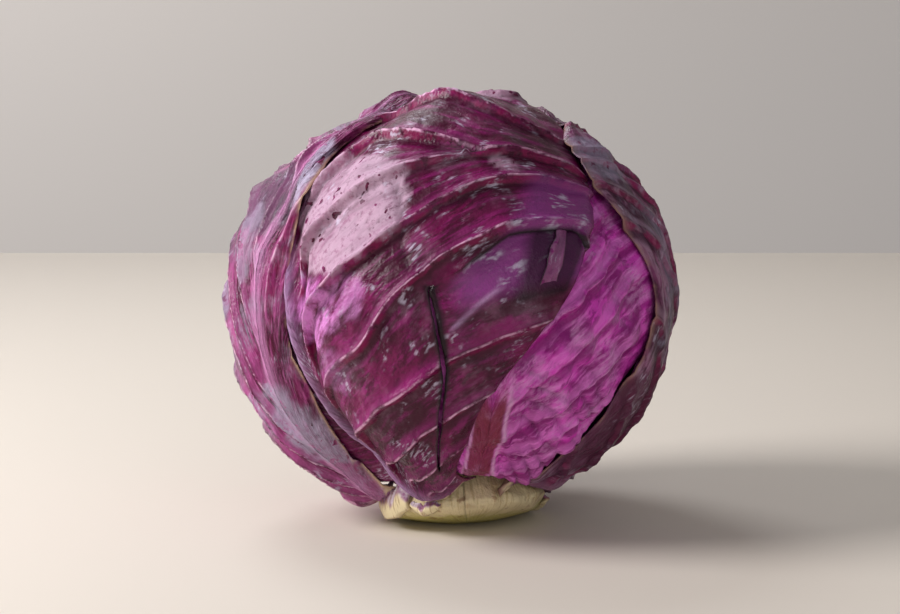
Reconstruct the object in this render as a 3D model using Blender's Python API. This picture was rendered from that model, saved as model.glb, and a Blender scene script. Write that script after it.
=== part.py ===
"""Red cabbage head, resting on the flat cut of its stem.

A packed heart of inner leaves grows on a short stem, and seven wrapper leaves close over it.
Every leaf is laid out flat, in metres along and across its midrib, and wrapped onto the head.
Each one rides over the leaves under it, so no two solids touch.
The script is in metres, +Z up, with the origin on the stem's cut, under the middle of the head.
"""

from math import cos, pi, radians, sin

import bmesh
import bpy
import numpy as np
from mathutils import Matrix, Vector
from mathutils.bvhtree import BVHTree

# ---- driving dimensions, in metres and degrees ----
HEAD_RADIUS = 0.0734  # at its widest, about the axis that runs from stem to crown
CROWN_RADIUS = 0.0730  # from the middle of the head up to the crown
BASE_RADIUS = 0.0695  # and down to the stem
TILT_BACK = 13.0  # the crown leans away from -Y
TILT_SIDE = 4.0  # and a little towards -X
CUT_BELOW_MIDDLE = 0.0702  # from the middle of the head down to the flat cut of the stem

BLADE = 0.0013  # thickness of a leaf between its veins
BLADE_AT_MARGIN = 0.00085
VEIN_RISE = 0.0010  # a side vein stands this far out of the blade
VEIN_DROP = 0.0003  # and the blade dips this far along its lower flank
LAYER = 0.0029  # from one leaf's inner face to that of the leaf over it
FIRST_GAP = 0.0008  # from the heart to the first leaf
CLEAR = 0.0004  # the least gap between two leaves, or a leaf and the heart
RAISE = 0.0001  # a leaf that touches what is under it comes up by this much at a time
MOST_RAISES = 80
DRAPE_START = 0.005  # a leaf starts to come down this far outside the edge of the leaf under it
DRAPE = 0.014  # and is down on the next layer after this much more
SETTLE = 0.024  # how gently the heart makes room for the leaves
FOOT_SWELL = 0.0060  # the head is fuller by this much in front of the stem
FOOT_SWELL_END = 40.0  # and no longer this far from the stem
CROWN_BULGE = 0.0098  # the crown is fuller on its right, growing by this much per unit of reach
CROWN_HOLLOW = 0.0062  # and flatter on its left

STEM_ANGLE = 22.5  # half angle of the stem's cone, seen from the middle of the head
FOOT_ANGLE = 23.1  # the leaves and the heart end here, just clear of the stem

VEINS = 12  # side veins of a leaf, on each side
VEIN_FLANK = 0.2  # a vein's steep lower flank, as a share of the way to the next
SIDE_COLUMNS = 6  # mesh columns from the midrib's flank to the margin
CORNER_SPREAD = 12.0  # a row's least angle from the stem grows by this much over the leaf
FOOT_BLEND = 0.10  # share of a leaf over which its foot takes the curve of the stem

# The wrapper leaves, from the innermost out. Azimuth 0 faces -Y and 90 faces +X.
# azimuth and rise place the middle of the blade, foot_azimuth the end on the stem, and
# past_crown says how far the tip reaches over the crown, all in degrees.
# left and right are the blade's half widths, as seen from outside with the stem down.
LEAVES = [
    dict(name="leaf_right_inner", azimuth=128, rise=8, foot_azimuth=120, past_crown=-14,
         left=0.074, right=0.074, seed=1),
    dict(name="leaf_left_inner", azimuth=-118, rise=8, foot_azimuth=-112, past_crown=-10,
         left=0.074, right=0.074, seed=2),
    dict(name="leaf_front_inner", azimuth=12, rise=8, foot_azimuth=6, past_crown=-8,
         left=0.060, right=0.086, seed=3),
    dict(name="leaf_front", azimuth=-50, rise=12, foot_azimuth=-18, past_crown=12,
         left=0.070, right=0.112, widest=0.018, right_taper=2.4, foot_bend=6.0, slant=0.95,
         seed=4, tear=True),
    dict(name="leaf_back", azimuth=178, rise=12, foot_azimuth=172, past_crown=8,
         left=0.082, right=0.080, seed=5),
    dict(name="leaf_left", azimuth=-54, rise=12, foot_azimuth=-60, past_crown=-4,
         left=0.096, right=0.0100, widest=0.020, right_taper=5.0, foot_bend=1.0, foot_right=10.0,
         seed=6, lift=0.0008),
    dict(name="leaf_right", azimuth=126, rise=12, foot_azimuth=50, past_crown=-14,
         left=0.085, right=0.076, widest=0.035, left_taper=1.4, foot_bend=1.8, seed=7,
         lift=0.0005),
]
LEAF_DEFAULTS = dict(
    left_taper=1.0, right_taper=1.0, slant=0.8, widest=0.012, foot_bend=2.2, foot_left=27.0,
    foot_right=27.0, lift=0.0, tear=False,
)

MIDRIB_HALF_WIDTH = (0.0065, 0.0012)  # at the foot and at the tip
MIDRIB_RISE = (0.0030, 0.0007)
VEIN_ELBOW = (0.11, 0.34)  # where a side vein turns outwards, as shares of its span
MARGIN_WAVE = 0.0022  # the margin runs in and out this far
LAST_ROW_ANGLE = 82.0  # the last row ends here on the margin, short of the tip

# ---- small tools ----


def smooth(x):
    """0 below 0, 1 above 1, and an even S between."""
    x = np.clip(x, 0.0, 1.0)
    return x * x * (3.0 - 2.0 * x)


def between(pair, share):
    return pair[0] + (pair[1] - pair[0]) * share


def unit(azimuth, from_stem):
    """Direction from the middle of the head, by azimuth and angle from the stem, in degrees."""
    a = np.radians(azimuth)
    p = np.radians(from_stem)
    return np.stack([np.sin(a) * np.sin(p), -np.cos(a) * np.sin(p), -np.cos(p) + 0.0 * a], axis=-1)


def head_radius(direction):
    """The outside of the closed head in that direction, before veins and edges."""
    across = (direction[..., 0] ** 2 + direction[..., 1] ** 2) / HEAD_RADIUS**2
    along = (direction[..., 2] / np.where(direction[..., 2] > 0.0, CROWN_RADIUS, BASE_RADIUS)) ** 2
    angle = np.degrees(np.arccos(np.clip(-direction[..., 2], -1.0, 1.0)))
    in_front = 0.5 - 0.5 * direction[..., 1] / (np.hypot(direction[..., 0], direction[..., 1]) + 1e-9)
    swell = FOOT_SWELL * in_front * smooth((FOOT_SWELL_END - angle) / (FOOT_SWELL_END - FOOT_ANGLE))
    bulge = CROWN_BULGE * np.maximum(direction[..., 0], 0.0) * smooth((angle - 150.0) / 15.0)
    hollow = CROWN_HOLLOW * np.maximum(-direction[..., 0], 0.0) * smooth((angle - 120.0) / 30.0)
    return 1.0 / np.sqrt(across + along) + swell + bulge - hollow


def head_to_world():
    tilt = Matrix.Rotation(radians(-TILT_SIDE), 4, "Y") @ Matrix.Rotation(radians(-TILT_BACK), 4, "X")
    return Matrix.Translation((0.0, 0.0, CUT_BELOW_MIDDLE)) @ tilt


def add_object(name, vertices, faces, color, roughness):
    """A mesh object from points in the head's own axes, set down on its cut."""
    mesh = bpy.data.meshes.new(name)
    mesh.from_pydata([tuple(v) for v in vertices], [], faces)
    mesh.transform(head_to_world())
    material = bpy.data.materials.new(name)
    material.use_nodes = True
    shader = material.node_tree.nodes["Principled BSDF"]
    shader.inputs["Base Color"].default_value = (*color, 1.0)
    shader.inputs["Roughness"].default_value = roughness
    mesh.materials.append(material)
    mesh.shade_smooth()
    mesh.set_sharp_from_angle(angle=radians(40))
    part = bpy.data.objects.new(name, mesh)
    bpy.context.scene.collection.objects.link(part)
    return part


# ---- one leaf, laid out flat ----


class Leaf:
    """A leaf's outline, midrib and rows on its own plane: x across, y towards the tip."""

    def __init__(self, **sizes):
        self.__dict__.update(LEAF_DEFAULTS)
        self.__dict__.update(sizes)
        a, e = radians(self.azimuth), radians(self.rise)
        self.out = np.array([sin(a) * cos(e), -cos(a) * cos(e), sin(e)])
        self.across = np.array([cos(a), sin(a), 0.0])
        self.up = np.cross(self.out, self.across)
        self.foot_x, self.foot_y = self.to_plane(unit(self.foot_azimuth, FOOT_ANGLE))
        self.tip_y = HEAD_RADIUS * radians(90.0 - self.rise + self.past_crown)
        self.wave = np.random.default_rng(self.seed).uniform(0.0, 2.0 * pi, 3)
        self.outline = self.closed_outline()

    def to_plane(self, direction):
        """Unrolls a direction onto the leaf's plane, keeping lengths from the blade's middle."""
        angle = np.arccos(np.clip(direction @ self.out, -1.0, 1.0))
        stretch = HEAD_RADIUS * angle / (np.sin(angle) + 1e-9)
        return stretch * (direction @ self.across), stretch * (direction @ self.up)

    def to_direction(self, x, y):
        reach = np.hypot(x, y) + 1e-12
        angle = reach / HEAD_RADIUS
        side = (np.sin(angle) / reach)[..., None]
        return np.cos(angle)[..., None] * self.out + side * (
            x[..., None] * self.across + y[..., None] * self.up
        )

    def midrib_x(self, y):
        """The midrib is straight, except that it bends to where the leaf grows from the stem."""
        share = np.clip((self.widest - y) / (self.widest - self.foot_y), 0.0, 1.2)
        return self.foot_x * share**self.foot_bend

    def midrib(self, row):
        y = self.foot_y + (self.tip_y - self.foot_y) * row**2.0
        return self.midrib_x(y), y

    def foot(self, across):
        """The end on the stem, across from -1 to 1, curved round it."""
        half_angle = np.where(np.asarray(across) > 0, self.foot_right, self.foot_left)
        return self.to_plane(unit(self.foot_azimuth + half_angle * across, FOOT_ANGLE))

    def height_share(self, row):
        """How far up the leaf the midrib is at a row, from 0 at the foot to 1 at the tip."""
        return (self.midrib(row)[1] - self.foot_y) / (self.tip_y - self.foot_y)

    def margin(self, row, side):
        """Where a row meets the margin: side is -1 or 1."""
        angle = np.radians(-90.0 + (90.0 + LAST_ROW_ANGLE) * row**self.slant)
        half = self.right if side > 0 else self.left
        foot_half = abs(float(self.foot(side)[0]) - self.foot_x)
        low = angle < 0
        reach = np.where(low, self.widest - self.foot_y, self.tip_y - self.widest)
        y = self.widest + reach * np.sin(angle)
        rise = np.abs(np.cos(angle)) ** (self.right_taper if side > 0 else self.left_taper)
        bare = np.where(low, foot_half + (half - foot_half) * rise, half * np.cos(angle))
        waves = sum(
            np.sin((5 + 3 * k) * angle + side * self.wave[k]) / (1 + k) for k in range(len(self.wave))
        )
        fade = smooth(row / 0.25)
        return side * (bare + MARGIN_WAVE * fade * waves) + self.midrib_x(y), y

    def point(self, row, across):
        """The point at a row (0 foot, 1 tip) and across (-1 left, 0 midrib, 1 right)."""
        side = 1.0 if across >= 0 else -1.0
        q = abs(across)
        mid_x, mid_y = self.midrib(row)
        end_x, end_y = self.margin(row, side)
        turn_x = mid_x + VEIN_ELBOW[0] * (end_x - mid_x)
        turn_y = mid_y + VEIN_ELBOW[1] * (end_y - mid_y)
        x = (1 - q) ** 2 * mid_x + 2 * q * (1 - q) * turn_x + q**2 * end_x
        y = (1 - q) ** 2 * mid_y + 2 * q * (1 - q) * turn_y + q**2 * end_y
        return x, y

    def share_across(self, row, side, distance):
        """How far across a row, from 0 to 1, lies this distance from the midrib."""
        span = abs(self.margin(row, side)[0] - self.midrib(row)[0])
        elbow = VEIN_ELBOW[0]
        return (np.sqrt(elbow**2 + (1 - 2 * elbow) * distance / span) - elbow) / (1 - 2 * elbow)

    def footed_point(self, row, across):
        """The same, with the lowest rows curved round the stem."""
        x, y = self.point(row, across)
        start_x, start_y = self.point(0.0, across)
        foot_x, foot_y = self.foot(across)
        hold = max(0.0, 1.0 - row / FOOT_BLEND)
        return x + hold * (foot_x - start_x), y + hold * (foot_y - start_y)

    def closed_outline(self):
        """The outline as a closed ring of points, once round the leaf."""
        rows = np.linspace(0.0, 1.0, 60) ** 1.4
        right = np.stack(self.margin(rows, 1.0), axis=-1)
        left = np.stack(self.margin(rows, -1.0), axis=-1)
        tip = np.array([self.point(1.0, across) for across in np.linspace(0.8, -0.8, 9)])
        foot = np.stack(self.foot(np.linspace(-0.8, 0.8, 5)), axis=-1)
        return np.concatenate([right, tip, left[::-1], foot])

    def inside_by(self, x, y):
        """Distance in from the outline; negative outside it."""
        point = np.stack([x, y], axis=-1)[..., None, :]
        start = self.outline
        step = np.roll(start, -1, axis=0) - start
        along = np.clip(((point - start) * step).sum(-1) / (step**2).sum(-1), 0.0, 1.0)
        nearest = np.linalg.norm(point - start - along[..., None] * step, axis=-1).min(-1)
        above = start[:, 1] > y[..., None]
        crosses = above != np.roll(above, -1, axis=-1)
        slope = step[:, 0] / np.where(np.abs(step[:, 1]) < 1e-12, 1e-12, step[:, 1])
        hit = x[..., None] < start[:, 0] + slope * (y[..., None] - start[:, 1])
        inside = (crosses & hit).sum(-1) % 2 == 1
        return np.where(inside, nearest, -nearest)

    def bulk(self, direction, start, run):
        """How much room the leaf takes in that direction: a layer, more along the midrib."""
        x, y = self.to_plane(direction)
        cover = smooth(1.0 + (self.inside_by(x, y) + start) / run)
        share = np.clip((y - self.foot_y) / (self.tip_y - self.foot_y), 0.0, 1.0)
        width = 2.4 * between(MIDRIB_HALF_WIDTH, share)
        ridge = between(MIDRIB_RISE, share) * smooth(1.5 - np.abs(x - self.midrib_x(y)) / width)
        return cover * (LAYER + ridge)


# ---- how the leaves lie on each other ----


def heart_radius(leaves, direction):
    """The heart fills what the wrapper leaves leave of the head."""
    room = sum(leaf.bulk(direction, SETTLE / 2, SETTLE) for leaf in leaves)
    return head_radius(direction) - room


def inner_face(leaves, index, direction):
    """Radius of a leaf's inner face: on the heart, over every leaf that is under it."""
    radius = heart_radius(leaves, direction) + FIRST_GAP
    for leaf in leaves[:index]:
        radius = radius + leaf.bulk(direction, DRAPE_START, DRAPE)
    return radius


def row_places():
    """Rows of the mesh as (place, height): two to a vein, the blade just below it and its crest."""
    rows = [(0.0, 0.0)]
    for vein in range(1, VEINS + 1):
        rows.append(((vein - VEIN_FLANK) / VEINS, -VEIN_DROP))
        rows.append((vein / VEINS, VEIN_RISE))
    rows[-1] = (1.0, 0.0)
    return rows


MOST_FLANK = 0.6  # the midrib's flank takes no more than this share of a narrow side
TEAR_COLUMN = 4  # the split in the front leaf runs up this column, counted from the midrib
TEAR_OUT = 0.66  # this share of the way from the midrib's flank to the margin
TEAR_ROWS = (4, 12)  # between these rows
TEAR_HALF_WIDTH = 0.0008
NOTCH_ROWS = (10, 12)  # the piece missing from its right margin
NOTCH_COLUMN = 5


def leaf_grid(leaf, rows):
    """The blade's vertices: (row, column, copy) to a number, and for each its place on the leaf."""
    grid, places = {}, []
    for i, (row, height) in enumerate(rows):
        share = leaf.height_share(row)
        for j in range(-SIDE_COLUMNS, SIDE_COLUMNS + 1):
            side = 1.0 if j >= 0 else -1.0
            flank = min(leaf.share_across(row, side, between(MIDRIB_HALF_WIDTH, share)), MOST_FLANK)
            out = 0.0 if j == 0 else (abs(j) - 1) / (SIDE_COLUMNS - 1)
            if leaf.tear and j == TEAR_COLUMN:
                out = TEAR_OUT
            across = 0.0 if j == 0 else side * (flank + (1.0 - flank) * out)
            torn = leaf.tear and j == TEAR_COLUMN and TEAR_ROWS[0] < i < TEAR_ROWS[1]
            for copy, shift in enumerate((-TEAR_HALF_WIDTH, TEAR_HALF_WIDTH) if torn else (0.0,)):
                grid[i, j, copy] = len(places)
                x, y = leaf.footed_point(row, across)
                places.append((x + shift, y, row, share, j, out, height))
    return grid, places


def leaf_triangles(leaf, rows, grid):
    """Two triangles to a cell, with their long sides along the veins."""
    faces = []
    for i in range(len(rows) - 1):
        for j in range(-SIDE_COLUMNS, SIDE_COLUMNS):
            if leaf.tear and NOTCH_ROWS[0] <= i < NOTCH_ROWS[1] and j >= NOTCH_COLUMN:
                continue
            a, b = grid.get((i, j, 1), grid[i, j, 0]), grid[i, j + 1, 0]
            c, d = grid[i + 1, j + 1, 0], grid.get((i + 1, j, 1), grid[i + 1, j, 0])
            faces += [(a, b, c), (a, c, d)] if j >= 0 else [(a, b, d), (b, c, d)]
    return faces


def keep_off_stem(directions, row):
    """Slides points that would cut the corner across the stem out to its side."""
    angle = np.arccos(np.clip(-directions[:, 2], -1.0, 1.0))
    least = np.radians(FOOT_ANGLE + CORNER_SPREAD * row)
    wide = np.hypot(directions[:, 0], directions[:, 1])
    turned = np.maximum(angle, least)
    flat = directions[:, :2] / wide[:, None] * np.sin(turned)[:, None]
    return np.column_stack([flat, -np.cos(turned)])


def settle(directions, radius, faces, under):
    """Raises an inner face, a little at a time, until it lies clear of the solids under it."""
    solids = BVHTree.FromPolygons(*under)
    corners = np.array(faces)
    for _ in range(MOST_RAISES):
        low = directions * (radius - CLEAR)[:, None]
        sheet = BVHTree.FromPolygons([Vector(point) for point in low], faces)
        touching = sorted({first for first, _ in sheet.overlap(solids)})
        if not touching:
            break
        radius[np.unique(corners[touching])] += RAISE
    return radius


def make_leaf(leaves, index, under, color):
    """A closed blade: outer face with its ribs, inner face, and the edge between them."""
    leaf = leaves[index]
    rows = row_places()
    grid, places = leaf_grid(leaf, rows)
    faces = leaf_triangles(leaf, rows, grid)
    x, y, row, share, column, out, height = np.array(places).T
    directions = keep_off_stem(leaf.to_direction(x, y), row)
    lift = leaf.lift * out**3 * smooth(row / 0.3) * (1.0 - smooth((row - 0.5) / 0.3))
    radius = inner_face(leaves, index, directions) + lift
    radius = settle(directions, radius, faces, under)
    ribs = height * (1.0 - 0.45 * out) * smooth(row / 0.15)
    midrib = between(MIDRIB_RISE, share)
    relief = np.select([column == 0, abs(column) == 1], [midrib, 0.3 * midrib], ribs)
    thickness = between((BLADE, BLADE_AT_MARGIN), out) + relief
    points, faces = close_blade(directions, radius, radius + thickness, faces)
    add_under(under, points, faces)
    return add_object(leaf.name, points, faces, color, 0.4)


def close_blade(directions, inner, outer, faces):
    """A solid from one sheet of triangles: the same ones on both faces, and a wall on each open edge."""
    used = np.unique(np.array(faces))
    new = {int(v): k for k, v in enumerate(used)}
    points = [*(directions[used] * outer[used, None]), *(directions[used] * inner[used, None])]
    faces = [tuple(new[v] for v in face) for face in faces]
    edges = {(face[k], face[(k + 1) % 3]) for face in faces for k in range(3)}
    open_edges = sorted((a, b) for a, b in edges if (b, a) not in edges)
    count = len(used)
    walls = []
    for a, b in open_edges:
        walls += [(b, a, a + count), (b, a + count, b + count)]
    backs = [tuple(v + count for v in reversed(face)) for face in faces]
    return points, faces + backs + walls


def add_under(under, points, faces):
    """Keeps a finished solid as something that the next leaf must clear."""
    first = len(under[0])
    under[0].extend(Vector(point) for point in points)
    under[1].extend(tuple(v + first for v in face) for face in faces)


# ---- the heart ----

HEART_ROWS = 17
HEART_COLUMNS = 26
HEART_DIMPLE = 0.0458  # the heart's flat underside, this far below the middle, clears the stem
HEART_SEAMS = 5  # inner leaf edges that show as steps round the heart
SEAM_STEP = 0.0012


def make_heart(leaves, under, color):
    """The packed inner leaves, as one ball with their overlapping edges as low steps."""
    angles = [FOOT_ANGLE + 0.9 + (176.0 - FOOT_ANGLE) * (k / (HEART_ROWS - 1)) for k in range(HEART_ROWS)]
    points = [np.array([0.0, 0.0, -HEART_DIMPLE])]
    rings = []
    for step, angle in enumerate([FOOT_ANGLE] + [min(a, 174.0) for a in angles]):
        ring = []
        for k in range(HEART_COLUMNS):
            azimuth = 360.0 * k / HEART_COLUMNS
            direction = unit(np.array(azimuth), angle)
            seam = (azimuth / 360.0 + angle / 300.0) * HEART_SEAMS % 1.0
            radius = float(heart_radius(leaves, direction)) - SEAM_STEP * seam
            if step == 0:
                radius = HEART_DIMPLE / cos(radians(FOOT_ANGLE))
            ring.append(len(points))
            points.append(direction * radius)
        rings.append(ring)
    top = len(points)
    points.append(np.array([0.0, 0.0, float(heart_radius(leaves, np.array([0.0, 0.0, 1.0]))) - SEAM_STEP]))
    faces = []
    for k in range(HEART_COLUMNS):
        n = (k + 1) % HEART_COLUMNS
        faces.append((0, rings[0][n], rings[0][k]))
        faces.append((top, rings[-1][k], rings[-1][n]))
        for low, high in zip(rings, rings[1:]):
            faces += [(low[k], low[n], high[n]), (low[k], high[n], high[k])]
    add_under(under, points, faces)
    return add_object("heart", points, faces, color, 0.5)


# ---- the stem ----

STEM_SIDES = 30
STEM_TOP = 0.0465  # from the middle of the head down to the stem's top
STEM_FLANK_ANGLES = (17.5, 20.0)  # the flank flares from the top, over the length below
STEM_FLANK = 0.0620
STEM_RIM = 0.0706  # out along the cone to the rim that the leaves' feet meet
STEM_BALL = 0.0724  # the trimmed underside is part of a ball about the middle of the head
STEM_UNDERSIDE_ANGLES = (20.8, 17.0, 12.0, 6.0)
SCARS = 7  # stubs where trimmed outer leaves grew, round the rim
SCAR_RISE = 0.0011
SCAR_STEPS = (3, 4)  # the two rings of the profile that carry them


def make_stem(color):
    """The cut stem: a cone up into the heart, a rim with leaf scars, and the flat knife cut it stands on."""
    reach_and_angle = [
        (STEM_TOP / cos(radians(STEM_FLANK_ANGLES[0])), STEM_FLANK_ANGLES[0]),
        (STEM_FLANK, STEM_FLANK_ANGLES[1]),
        (STEM_RIM, STEM_ANGLE),
    ]
    reach_and_angle += [(STEM_BALL, angle) for angle in STEM_UNDERSIDE_ANGLES]
    profile = [(reach * sin(radians(a)), reach * cos(radians(a))) for reach, a in reach_and_angle]
    mesh = bmesh.new()
    top = mesh.verts.new((0.0, 0.0, -STEM_TOP))
    rings = []
    for step, (radius, depth) in enumerate(profile):
        ring = []
        for k in range(STEM_SIDES):
            angle = 2.0 * pi * k / STEM_SIDES
            scar = 0.5 + 0.5 * cos(SCARS * angle + 0.6 * sin(2 * angle))
            swell = SCAR_RISE * scar if step in SCAR_STEPS else 0.0
            ring.append(mesh.verts.new(((radius + swell) * sin(angle), -(radius + swell) * cos(angle), -depth)))
        rings.append(ring)
    end = mesh.verts.new((0.0, 0.0, -STEM_BALL))
    for k in range(STEM_SIDES):
        n = (k + 1) % STEM_SIDES
        mesh.faces.new((top, rings[0][k], rings[0][n]))
        mesh.faces.new((end, rings[-1][n], rings[-1][k]))
        for high, low in zip(rings, rings[1:]):
            mesh.faces.new((high[n], high[k], low[k], low[n]))
    placed = head_to_world()
    bmesh.ops.transform(mesh, matrix=placed, verts=mesh.verts)
    cut = bmesh.ops.bisect_plane(
        mesh,
        geom=mesh.verts[:] + mesh.edges[:] + mesh.faces[:],
        plane_co=Vector((0.0, 0.0, 0.0)),
        plane_no=Vector((0.0, 0.0, -1.0)),
        clear_outer=True,
    )
    rim = [e for e in cut["geom_cut"] if isinstance(e, bmesh.types.BMEdge)]
    bmesh.ops.contextual_create(mesh, geom=rim)
    for vertex in mesh.verts:
        if abs(vertex.co.z) < 1e-6:
            vertex.co.z = 0.0
    bmesh.ops.recalc_face_normals(mesh, faces=mesh.faces[:])
    back = placed.inverted()
    bmesh.ops.transform(mesh, matrix=back, verts=mesh.verts)
    mesh.verts.index_update()
    points = [v.co.copy() for v in mesh.verts]
    faces = [tuple(v.index for v in f.verts) for f in mesh.faces]
    mesh.free()
    return add_object("stem", points, faces, color, 0.6)


# ---- the whole head ----

WINE = (0.13, 0.025, 0.065)
MAGENTA = (0.27, 0.035, 0.19)
STEM_CREAM = (0.55, 0.47, 0.26)


def main():
    for old in list(bpy.data.objects):
        bpy.data.objects.remove(old)
    leaves = [Leaf(**sizes) for sizes in LEAVES]
    make_stem(STEM_CREAM)
    under = ([], [])
    make_heart(leaves, under, MAGENTA)
    for index, leaf in enumerate(leaves):
        make_leaf(leaves, index, under, MAGENTA if leaf.name.endswith("inner") else WINE)


main()
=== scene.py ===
"""A head of red cabbage on its cut stem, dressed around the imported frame.

The sections follow the head as it grows: the studio, the stem, the heart, the lie of the leaves,
and then the leaves from the innermost out. All sizes are in metres and all angles in degrees.
"""

from math import cos, pi, radians, sin

import bpy
import numpy as np
from mathutils import Matrix, Vector
from mathutils.bvhtree import BVHTree


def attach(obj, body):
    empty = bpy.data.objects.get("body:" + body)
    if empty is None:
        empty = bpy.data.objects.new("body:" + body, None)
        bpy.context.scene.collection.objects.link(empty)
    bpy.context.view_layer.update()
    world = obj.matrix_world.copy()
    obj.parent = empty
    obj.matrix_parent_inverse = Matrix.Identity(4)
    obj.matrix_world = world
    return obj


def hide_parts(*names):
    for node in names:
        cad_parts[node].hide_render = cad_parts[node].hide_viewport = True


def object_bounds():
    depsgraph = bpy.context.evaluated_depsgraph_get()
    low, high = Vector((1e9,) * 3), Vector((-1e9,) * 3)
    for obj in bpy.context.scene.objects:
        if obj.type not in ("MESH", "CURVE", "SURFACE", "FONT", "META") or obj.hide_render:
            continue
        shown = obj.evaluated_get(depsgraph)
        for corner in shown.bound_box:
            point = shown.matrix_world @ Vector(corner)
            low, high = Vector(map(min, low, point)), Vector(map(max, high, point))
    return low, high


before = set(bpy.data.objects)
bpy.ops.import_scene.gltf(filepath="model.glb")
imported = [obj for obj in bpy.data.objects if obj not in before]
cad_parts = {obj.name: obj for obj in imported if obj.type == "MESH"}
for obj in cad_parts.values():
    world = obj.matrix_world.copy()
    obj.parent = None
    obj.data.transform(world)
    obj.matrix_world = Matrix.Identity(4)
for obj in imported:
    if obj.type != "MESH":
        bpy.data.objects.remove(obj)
cad_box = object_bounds()

# ---- the studio ----
# A plain pale worktop with a plain wall behind it, under one large soft light from the upper left.
# Weaker lights fill the right side and the wall. None of it belongs to the head.

HEAD_MIDDLE = (cad_box[0][2] + cad_box[1][2]) / 2
VIEW_RISE = 8.0
VIEW_DISTANCE = 0.90
LENS = 110.0
AIM = Vector((-0.0008, 0.0, HEAD_MIDDLE - 0.0019))
WORKTOP_BEHIND = 0.715  # its back edge
WALL_BEHIND = 1.7  # far enough for the back of the head to be seen too


def tone(red, green, blue):
    """A paint, given on a scale of 0 to 255, as the shader wants it."""
    shares = [value / 255.0 for value in (red, green, blue)]
    return tuple(s / 12.92 if s <= 0.04045 else ((s + 0.055) / 1.055) ** 2.4 for s in shares) + (1.0,)


def plain_surface(name, corners, colour, roughness):
    mesh = bpy.data.meshes.new(name)
    mesh.from_pydata(corners, [], [(0, 1, 2, 3)])
    material = bpy.data.materials.new(name)
    material.use_nodes = True
    shader = material.node_tree.nodes["Principled BSDF"]
    shader.inputs["Base Color"].default_value = colour
    shader.inputs["Roughness"].default_value = roughness
    mesh.materials.append(material)
    surface = bpy.data.objects.new(name, mesh)
    bpy.context.scene.collection.objects.link(surface)


def soft_light(name, place, aim, size, power, colour):
    lamp = bpy.data.lights.new(name, "AREA")
    lamp.shape = "DISK"
    lamp.size = size
    lamp.energy = power
    lamp.color = colour
    light = bpy.data.objects.new(name, lamp)
    light.location = place
    light.rotation_euler = (Vector(aim) - Vector(place)).to_track_quat("-Z", "Y").to_euler()
    bpy.context.scene.collection.objects.link(light)


plain_surface(
    "worktop",
    [(-3, -3, 0), (3, -3, 0), (3, WORKTOP_BEHIND, 0), (-3, WORKTOP_BEHIND, 0)],
    tone(221, 212, 201),
    0.75,
)
plain_surface(
    "wall",
    [(-3, WALL_BEHIND, -2), (3, WALL_BEHIND, -2), (3, WALL_BEHIND, 3), (-3, WALL_BEHIND, 3)],
    tone(240, 233, 228),
    0.9,
)
head = (0.0, 0.0, HEAD_MIDDLE)
soft_light("window", (-0.80, -0.16, 0.60), head, 0.5, 10.4, (1.0, 0.98, 0.97))
soft_light("room", (0.30, -1.05, 0.45), head, 1.0, 2.0, (1.0, 0.98, 0.97))
soft_light("sky", (-0.30, 0.55, 0.80), head, 0.4, 2.9, (0.94, 0.96, 1.0))
soft_light("wall_wash", (-0.70, 0.75, 0.50), (-0.70, WALL_BEHIND, 0.40), 0.4, 4.8, (1.0, 0.98, 0.96))

world = bpy.data.worlds.new("room")
world.use_nodes = True
world.node_tree.nodes["Background"].inputs["Color"].default_value = tone(224, 224, 226)
world.node_tree.nodes["Background"].inputs["Strength"].default_value = 0.31
bpy.context.scene.world = world
bpy.context.scene.view_settings.view_transform = "Standard"

camera_data = bpy.data.cameras.new("camera")
camera_data.lens = LENS
camera_data.sensor_width = 36.0
camera = bpy.data.objects.new("camera", camera_data)
camera.location = AIM + VIEW_DISTANCE * Vector((0.0, -cos(radians(VIEW_RISE)), sin(radians(VIEW_RISE))))
camera.rotation_euler = (radians(90.0 - VIEW_RISE), 0.0, 0.0)
bpy.context.scene.collection.objects.link(camera)
bpy.context.scene.camera = camera

# ---- the stem ----
# The butt of the head: a pale, fibrous stem, trimmed to a low dome by nine strokes of a knife.
# Stubs of the outer leaves that were pulled off stand round its rim, dried brown along their cuts.

CROWN_BACK = 13.0  # how far the crown leans to the back
CROWN_LEFT = 4.0  # and to the left
CUT_BELOW_MIDDLE = 0.0702
STEM_SIDES = 288
STEM_STEPS = 14
STEM_PROFILE = [  # (reach from the middle of the head, angle from the stem)
    (0.0470, 3.0),
    (0.0482, 15.0),
    (0.0620, 20.0),
    (0.0702, 22.2),
    (0.0722, 21.0),
    (0.0728, 19.0),
    (0.0726, 14.0),
    (0.0725, 8.0),
    (0.0724, 2.0),
]
KNIFE_CUTS = 9
LONG_CUT = 2  # the one that took most off, on the right
DEEPEST_CUT = 0.0060
SHALLOW_CUT = 0.0022
RIM_WIDE = 0.0262  # where the knife meets the rim: from the stem's middle line
RIM_DEEP = 0.0690  # and from the middle of the head
STEM_HALF_WIDTH = 0.028  # as its fibres are drawn
STUBS = [  # (azimuth, half width in degrees, height) of the leaf bases left by the knife
    (-66.0, 24.0, 0.0104),
    (-28.0, 11.0, 0.0036),
    (122.0, 16.0, 0.0052),
    (160.0, 18.0, 0.0060),
    (-130.0, 16.0, 0.0055),
]
STEM_CREAM = tone(226, 210, 168)
STEM_GREEN = tone(200, 190, 118)
STEM_DRIED = tone(142, 96, 62)
STEM_PURPLE = tone(150, 96, 134)


def smooth(x):
    """0 below 0, 1 above 1, and an even S between."""
    x = np.clip(x, 0.0, 1.0)
    return x * x * (3.0 - 2.0 * x)


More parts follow.
